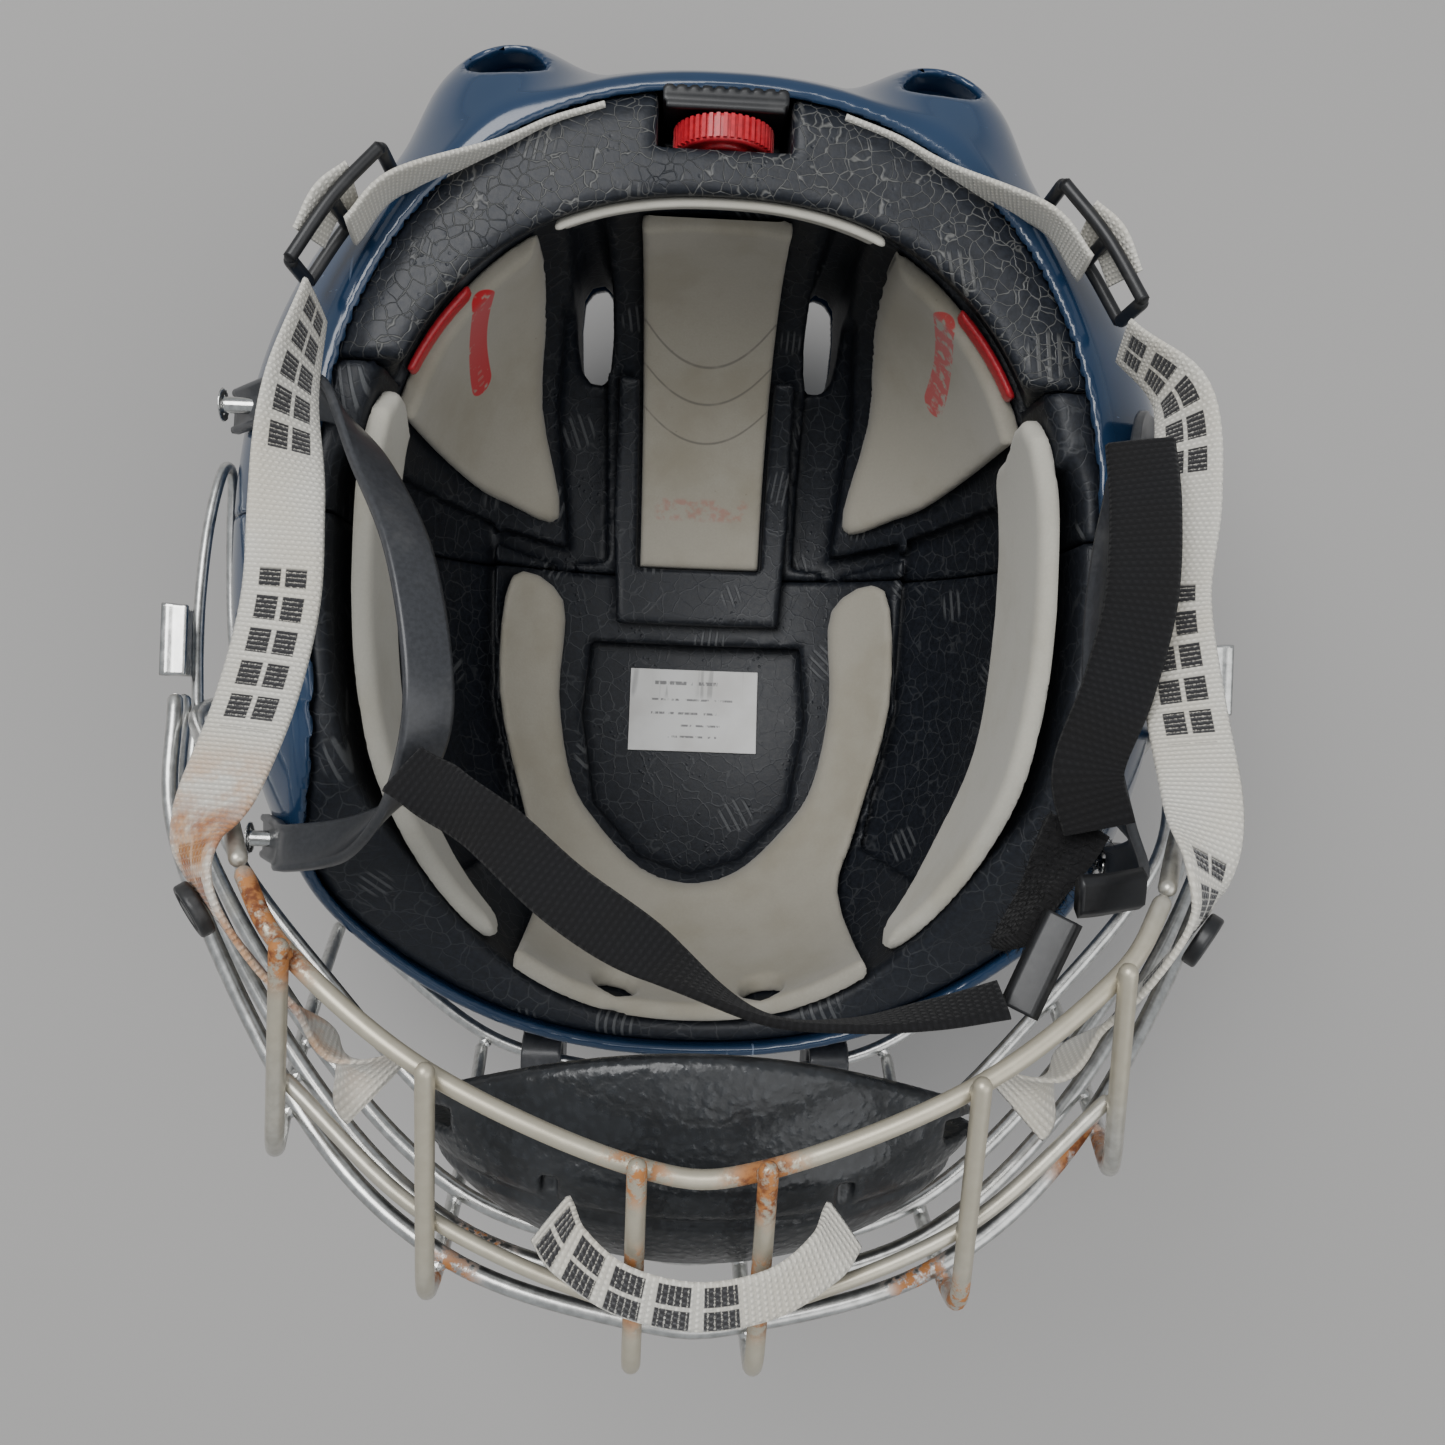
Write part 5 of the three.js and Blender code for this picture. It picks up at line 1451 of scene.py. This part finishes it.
def mix_finishes(settings):
    """Makes every material once, by name."""
    foam, strap, fitting = settings.foam, settings.strap, settings.fitting
    skin, pad = tuple(foam.skin), tuple(foam.pad)
    FINISH.update(
        navy=navy_gloss(tuple(settings.shell.paint)),
        liner=bead_foam("liner_foam", skin, (0.13, 0.135, 0.14), 0.2, 5.0, 0.5, 0.48),
        band=bead_foam("band_foam", tuple(c * 1.05 for c in skin), (0.115, 0.115, 0.11), 0.95, 3.4, 0.55, 0.42),
        # the crown, forehead and rear pads take the darker pad colour, painted shade for their place deep in the
        # helmet; the temple and nape pads near the rim take the lighter side_pad colour of the same foam
        crown_pad=pad_foam("crown_pad_foam", pad, lines=crown_lines, print_patch=faded_print),
        pad=pad_foam("pad_foam", pad),
        rear_left=pad_foam("rear_pad_left_foam", pad, label=rear_label(-1, 0.0)),
        rear_right=pad_foam("rear_pad_right_foam", pad, label=rear_label(1, 0.5)),
        side_pad=pad_foam("side_pad_foam", tuple(foam.side_pad)),
        label=label_sheet(),
        steel=cage_steel(tuple(settings.cage.patina)),
        chrome=cage_steel(tuple(settings.cage.patina), chrome=True),
        red=moulded_plastic("red_plastic", tuple(fitting.dial), 0.38, 0.2),
        smoke=moulded_plastic("smoke_plastic", tuple(fitting.smoke), 0.36, 0.15),
        black=moulded_plastic("black_plastic", tuple(fitting.black), 0.42, 0.1),
        cup=cup_foam((0.012, 0.0135, 0.0155)),
        white=webbing("white_webbing", tuple(strap.white), tuple(strap.motif), motif=True),
        rusty_white=webbing("white_webbing_stained", tuple(strap.white), tuple(strap.motif), motif=True,
                            rust=[(-88, -76, 221), (-93, -64, 222), (-80, -87, 219)]),
        plain_white=webbing("white_webbing_plain", tuple(strap.white), tuple(strap.motif)),
        chin=webbing("black_webbing", tuple(strap.black), tuple(strap.black), rib=1.5),
    )


class Maker(bpy.types.Operator):
    """Common to all the helmet's operators."""
    bl_options = {"REGISTER", "UNDO"}

    def execute(self, context):
        if not FINISH:
            mix_finishes(context.scene.helmet)
        self.make(context.scene.helmet)
        return {"FINISHED"}


class HELMET_OT_shell(Maker):
    """Make the front and rear shell"""
    bl_idname = "helmet.shell"
    bl_label = "Shell"

    def make(self, settings):
        step = settings.shell.cell / MM
        front = moulded("shell_front", lambda x, y, z: both(shell_field(x, y, z), y - SPLIT_Y, 0.8),
                        (-126, -134, -2), (126, 14, 154), step, FINISH["navy"], 5)
        rear = moulded("shell_rear", lambda x, y, z: both(shell_field(x, y, z), SPLIT_Y + GAP - y, 0.8),
                       (-126, 10, -2), (126, 140, 154), step, FINISH["navy"], 5)
        finished(front, "helmet", "front_shell", slot="navy_shell")
        finished(rear, "helmet", "rear_shell", slot="navy_shell")


class HELMET_OT_liner(Maker):
    """Make the foam liner, its rear band and the crown block"""
    bl_idname = "helmet.liner"
    bl_label = "Foam Liner"

    def make(self, settings):
        step = settings.foam.cell / MM
        front = moulded("foam_front", liner_front_field, (-122, -130, 0), (122, 14, 152), step, FINISH["liner"])
        rear = moulded("foam_rear", liner_rear_field, (-122, 10, 0), (122, 128, 152), step, FINISH["liner"])
        band = moulded("foam_rear_band", band_field, (-118, 46, 121), (118, 128, 154), step, FINISH["band"])
        block = moulded("foam_crown_block", crown_block_field, (-32, -8, 18), (32, 74, 104), 1.5,
                        FINISH["liner"])
        finished(front, "helmet", "liner_front", slot="black_foam")
        finished(rear, "helmet", "liner_rear", slot="black_foam")
        finished(band, "helmet", "liner_rear_band", slot="black_foam")
        finished(block, "helmet", "crown_block", slot="black_foam")


class HELMET_OT_pads(Maker):
    """Make the soft comfort pads"""
    bl_idname = "helmet.pads"
    bl_label = "Comfort Pads"

    def make(self, settings):
        step = settings.foam.pad_cell / MM
        fill = settings.foam.fill
        # the crown, forehead and rear pads wear the darker pad finishes, painted shade for their place deep inside;
        # the nape and temple pads wear the lighter side_pad finish of the same foam
        crown = moulded("pad_crown", pad_field(CROWN_PAD, 10, 112, 2.2), (-23, 12, 22), (23, 98, 114), step,
                        FINISH["crown_pad"])
        finished(crown, "helmet", "crown_pad", slot="pad_foam", pad=fill)
        forehead = moulded("pad_forehead", forehead_field(), (-64, -124, 22), (64, 12, 120), step,
                           FINISH["pad"])
        finished(forehead, "helmet", "forehead_pad", slot="pad_foam", pad=fill)
        nape = moulded("pad_nape", nape_field, (-43, 68, 122), (43, 99, 149), 0.8, FINISH["side_pad"])
        finished(nape, "helmet", "nape_pad", slot="pad_foam", pad=fill)
        for name, side in SIDES:
            low, high = sorted((side * 38.0, side * 92.0))
            rear = moulded(f"pad_rear_{name}", rear_pad_field(side), (low, 24, 28), (high, 102, 124), step,
                           FINISH[f"rear_{name}"])
            finished(rear, "helmet", f"rear_pad_{name}", slot="pad_foam", pad=fill)
            low, high = sorted((side * 50.0, side * 92.0))
            temple = moulded(f"pad_side_{name}", side_pad_field(side), (low, -94, 80), (high, 50, 150), step,
                             FINISH["side_pad"])
            finished(temple, "helmet", f"side_pad_{name}", slot="pad_foam", pad=fill)


class HELMET_OT_label(Maker):
    """Make the blank size label"""
    bl_idname = "helmet.label"
    bl_label = "Size Label"

    def make(self, settings):
        label = moulded("label", label_field, (-23, -47, 14), (23, -16, 40), 0.24, FINISH["label"])
        finished(label, "helmet", "size_label", slot="label_paper")


class HELMET_OT_adjuster(Maker):
    """Make the thumbwheel, its housing and the occipital arms"""
    bl_idname = "helmet.adjuster"
    bl_label = "Fit Adjuster"

    def make(self, settings):
        wheel = moulded("thumbwheel", dial_field, (-14, 101, 126), (14, 111, 154), 0.5, FINISH["red"])
        rib_graph().run(wheel, ribs=settings.fitting.dial_ribs, radius=(DIAL_RADIUS - 0.7) * MM, width=0.0009,
                        length=(DIAL_THICK - 0.8) * MM)
        finished(wheel, "dial", "adjuster_dial", slot="red_plastic")
        housing = moulded("wheel_housing", housing_field, (-16, 99, 123), (16, 117, 153), 0.55, FINISH["black"])
        finished(housing, "helmet", "adjuster_housing", slot="black_plastic")
        for name, side in SIDES:
            low, high = sorted((side * 42.0, side * 87.0))
            arm = moulded(f"fit_arm_{name}", arm_field(side), (low, 46, 121), (high, 98, 134), 0.8,
                          FINISH["red"])
            finished(arm, f"arm_{name}", f"occipital_arm_{name}", slot="red_plastic")


class HELMET_OT_ear_loops(Maker):
    """Make the ear loops and their screws"""
    bl_idname = "helmet.ear_loops"
    bl_label = "Ear Loops"

    def make(self, settings):
        for name, side in SIDES:
            loop = sweep(f"loop_{name}", on_side(EAR_LOOP[name], side), LOOP_SECTION, FINISH["smoke"], 120)
            finished(loop, "helmet", f"ear_loop_{name}", slot="smoke_plastic")
            for place, spot in (("rear", LOOP_REAR), ("front", LOOP_FRONT)):
                x = tab_x(spot, 5.0) + 1.1 + GAP * 3 + 1.2
                screw = screw_mesh(f"screw_{place}_{name}", (side * x, *spot), (-side, 0, 0))
                finished(screw, "helmet", f"ear_screw_{place}_{name}", slot="steel_wire")


class HELMET_OT_cage(Maker):
    """Bend and weld the wires of the face cage"""
    bl_idname = "helmet.cage"
    bl_label = "Face Cage"

    def make(self, settings):
        steel = FINISH["steel"]
        steps = settings.cage.steps
        for place in UPRIGHTS:
            for name, side in SIDES:
                bar = wire(f"upright_{place}_{name}", on_side(upright_points(place), side), WIRE, steel, steps)
                finished(bar, "cage", f"cage_upright_{place}_{name}", slot="steel_wire")
        rods = [("chin_bar", CHIN_BAR, WIRE), ("shelf_bar", SHELF_BAR, THIN_WIRE), ("brow_bar", BROW_BAR, WIRE)]
        rods += [(f"face_bar_{i + 1}", face_bar(*heights), WIRE) for i, heights in enumerate(FACE_BARS)]
        for node, points, radius in rods:
            finished(wire(node, points, radius, steel, steps), "cage", f"cage_{node}", slot="steel_wire")
        for name, side in SIDES:
            frame_wire = wire("outer_wire", on_side(SIDE_FRAME, side), WIRE, steel, steps)
            loop_wire = wire("loop_wire", on_side(SIDE_LOOP, side), THIN_WIRE, steel, steps)
            whole = joined(f"side_wires_{name}", [frame_wire, loop_wire])
            finished(whole, "cage", f"cage_side_frame_{name}", slot="steel_wire")
        welds = new_object("welds", weld_points(), [], steel)
        weld_graph().run(welds, size=settings.cage.weld)
        finished(welds, "cage", slot="steel_wire")


class HELMET_OT_clips(Maker):
    """Make the clips that hold the cage, and their screws"""
    bl_idname = "helmet.clips"
    bl_label = "Cage Clips"

    def make(self, settings):
        _, bar_y, _ = bar_in_clip()
        head = bar_y - CLIP_HOLE - CLIP_WALL - 1.2 - GAP
        for name, side in SIDES:
            low, high = sorted((side * 33.0, side * 47.0))
            clip = moulded(f"j_clip_{name}", brow_clip_field(side), (low, -139, 66), (high, -118, 98), 0.6,
                           FINISH["smoke"])
            finished(clip, "helmet", f"brow_clip_{name}", slot="smoke_plastic")
            screw = screw_mesh(f"clip_screw_{name}", (side * BROW_CLIP_X, head, CLIP_SCREW_Z), (0, 1, 0))
            finished(screw, "helmet", f"brow_screw_{name}", slot="steel_wire")
            low, high = sorted((side * 122.0, side * 133.0))
            spring = moulded(f"spring_clip_{name}", side_clip_field(side), (low, -30, 114), (high, -10, 146), 0.5,
                             FINISH["chrome"])
            finished(spring, f"clip_{name}", f"side_clip_{name}", slot="steel_wire")


class HELMET_OT_white_straps(Maker):
    """Lay the white elastic straps with their slides and snaps"""
    bl_idname = "helmet.white_straps"
    bl_label = "White Straps"

    def make(self, settings):
        section = strap_section(16, WEBBING)
        left = sweep("elastic_left", STRAP_FRONT_LEFT, section, FINISH["rusty_white"], 200)
        finished(left, "cage", "strap_front_left", slot="white_webbing")
        right = sweep("elastic_right", STRAP_FRONT_RIGHT, section, FINISH["white"], 200)
        finished(right, "cage", "strap_front_right", slot="white_webbing")
        loop = sweep("cup_loop", CUP_STRAP, strap_section(11, 1.1), FINISH["white"], 120)
        finished(loop, "cage", "chin_cup_strap", slot="white_webbing")
        for name, side in SIDES:
            rear = sweep(f"elastic_rear_{name}", on_side(STRAP_REAR, side), strap_section(13, WEBBING),
                         FINISH["plain_white"], 90)
            fold = sweep(f"elastic_fold_{name}", on_side(STRAP_FOLD, side), strap_section(13, WEBBING),
                         FINISH["plain_white"], 60)
            finished(fold, "helmet", slot="white_webbing")
            finished(rear, "helmet", f"strap_rear_{name}", slot="white_webbing")
            route, _ = through(on_side(SLIDE, side), 40)
            rails = [wire("rail", [(p[0], p[1], p[2] + lift) for p in route[::4]], 1.5, FINISH["black"], 40)
                     for lift in (-8.4, 8.4)]
            bars = [wire("bar", [(p[0], p[1], p[2] - 8.4), (p[0], p[1], p[2]), (p[0], p[1], p[2] + 8.4)], 1.7,
                         FINISH["black"], 8) for p in (route[1], route[20], route[39])]
            slide = joined(f"slide_{name}", rails + bars)
            finished(slide, "helmet", f"strap_slide_{name}", slot="black_plastic")
            snap = moulded(f"snap_{name}", snap_field(side), (side * SNAP_X - 8, -82, 210),
                           (side * SNAP_X + 8, -65, 228), 0.5, FINISH["black"])
            finished(snap, "cage", f"strap_snap_{name}", slot="black_plastic")


SNAP_X = 95.5


def snap_field(side):
    seat, out = np.array((side * 93.0, -72.0, 218.0)), np.array((side * 0.766, -0.492, 0.412))

    def field(x, y, z):
        gap = [c - s for c, s in zip((x, y, z), seat)]
        depth = sum(g * o for g, o in zip(gap, out))
        away = np.sqrt(np.maximum(sum(g * g for g in gap) - depth * depth, 0))
        body = both(away - 5.5, np.abs(depth - 2.3) - 1.4, 0.7)
        return both(body, -np.maximum(np.abs(away - 3.4) - 0.5, 2.9 - depth), 0.3)
    return field


class HELMET_OT_chin_cup(Maker):
    """Mould the chin cup"""
    bl_idname = "helmet.chin_cup"
    bl_label = "Chin Cup"

    def make(self, settings):
        cup = moulded("cup", cup_field, (-61, -143, 183), (61, -90, 240), 1.0, FINISH["cup"])
        finished(cup, "cup", "chin_cup", slot="black_foam")


class HELMET_OT_chin_straps(Maker):
    """Lay the black chin straps, the fleece sleeve and the buckle"""
    bl_idname = "helmet.chin_straps"
    bl_label = "Chin Straps"

    def make(self, settings):
        left = sweep("chin_webbing_left", CHIN_STRAP, strap_section(13, 1.6), FINISH["chin"], 220)
        finished(left, "helmet", "chin_strap_left", slot="black_webbing")
        right = sweep("chin_webbing_right", EAR_STRAP, strap_section(15, 1.6), FINISH["chin"], 160)
        finished(right, "helmet", "chin_strap_right", slot="black_webbing")
        sleeve = sweep("fleece_sleeve", SLEEVE, strap_section(15, 3.4, 0.1), FINISH["chin"], 40)
        fibre_graph().run(sleeve, density=float(settings.strap.fibres))
        finished(sleeve, "helmet", "chin_strap_sleeve", slot="black_webbing")
        body = sweep("buckle_frame", BUCKLE, strap_section(8, 2.6, 0.1), FINISH["black"], 30)
        finished(body, "helmet", "buckle_body", slot="black_plastic")
        lever = sweep("buckle_tongue", LEVER, strap_section(9, 3.0, 0.1), FINISH["black"], 30)
        finished(lever, "lever", "buckle_lever", slot="black_plastic")


class HELMET_OT_stage(Maker):
    """Set the floor, the lights and the world"""
    bl_idname = "helmet.stage"
    bl_label = "Stage"

    def make(self, settings):
        stage = settings.stage
        mesh = bpy.data.meshes.new("floor")
        reach = 3.0
        mesh.from_pydata([(-reach, -reach, -0.0006), (reach, -reach, -0.0006), (reach, reach, -0.0006),
                          (-reach, reach, -0.0006)], [], [(0, 1, 2, 3)])
        ground = Finish("floor", roughness=0.85, specular_ior_level=0.2)
        ground.set("Base Color", tuple(stage.floor))
        mesh.materials.append(ground.material)
        floor = bpy.data.objects.new("floor", mesh)
        bpy.context.scene.collection.objects.link(floor)
        lamps = (("key", (-0.55, 0.55, 1.7), 1.1, stage.key), ("fill", (0.9, -0.5, 1.5), 1.6, stage.fill))
        for name, spot, size, power in lamps:
            light = bpy.data.lights.new(name, "AREA")
            light.size = size
            light.energy = power
            lamp = bpy.data.objects.new(name, light)
            lamp.location = spot
            lamp.rotation_euler = Vector(spot).to_track_quat("Z", "Y").to_euler()
            bpy.context.scene.collection.objects.link(lamp)
        world = bpy.data.worlds.new("studio")
        world.use_nodes = True
        world.node_tree.nodes["Background"].inputs["Color"].default_value = (0.92, 0.96, 1.0, 1.0)
        world.node_tree.nodes["Background"].inputs["Strength"].default_value = 0.45
        bpy.context.scene.world = world


class HELMET_OT_camera(Maker):
    """Hang the camera over the head opening"""
    bl_idname = "helmet.camera"
    bl_label = "Camera"

    def make(self, settings):
        data = bpy.data.cameras.new("camera")
        data.sensor_width = 36.0
        data.lens = settings.stage.lens
        camera = bpy.data.objects.new("camera", data)
        look = Vector((0.041, 0.0, -1.0)).normalized()
        roll = math.radians(2.1)
        right = Vector((math.cos(roll), math.sin(roll), 0.0))
        right = (right - look * right.dot(look)).normalized()
        up = right.cross(look)
        camera.matrix_world = Matrix((
            (right.x, up.x, -look.x, -0.009), (right.y, up.y, -look.y, -0.035), (right.z, up.z, -look.z, 0.480),
            (0, 0, 0, 1)))
        bpy.context.scene.collection.objects.link(camera)
        bpy.context.scene.camera = camera


STEPS = (HELMET_OT_camera, HELMET_OT_stage, HELMET_OT_shell, HELMET_OT_liner, HELMET_OT_pads, HELMET_OT_label,
         HELMET_OT_adjuster, HELMET_OT_ear_loops, HELMET_OT_cage, HELMET_OT_clips, HELMET_OT_white_straps,
         HELMET_OT_chin_cup, HELMET_OT_chin_straps)


class HELMET_PT_panel(bpy.types.Panel):
    """The helmet's tools, in making order"""
    bl_label = "Hockey Helmet"
    bl_space_type = "VIEW_3D"
    bl_region_type = "UI"
    bl_category = "Helmet"

    def draw(self, context):
        settings = context.scene.helmet
        for group in ("shell", "foam", "cage", "strap", "fitting", "stage"):
            values = getattr(settings, group)
            column = self.layout.box().column()
            for key in values.bl_rna.properties.keys():
                if key not in ("rna_type", "name"):
                    column.prop(values, key)
        for step in STEPS:
            self.layout.operator(step.bl_idname)


CLASSES = (ShellSettings, FoamSettings, CageSettings, StrapSettings, FittingSettings, StageSettings, HelmetSettings,
           *STEPS, HELMET_PT_panel)


def register():
    for item in CLASSES:
        bpy.utils.register_class(item)
    bpy.types.Scene.helmet = PointerProperty(type=HelmetSettings, name="Helmet",
                                             description="Settings of the helmet")


def unregister():
    del bpy.types.Scene.helmet
    for item in reversed(CLASSES):
        bpy.utils.unregister_class(item)


def main():
    register()
    for step in STEPS:
        group, name = step.bl_idname.split(".")
        getattr(getattr(bpy.ops, group), name)()


if __name__ == "__main__":
    main()
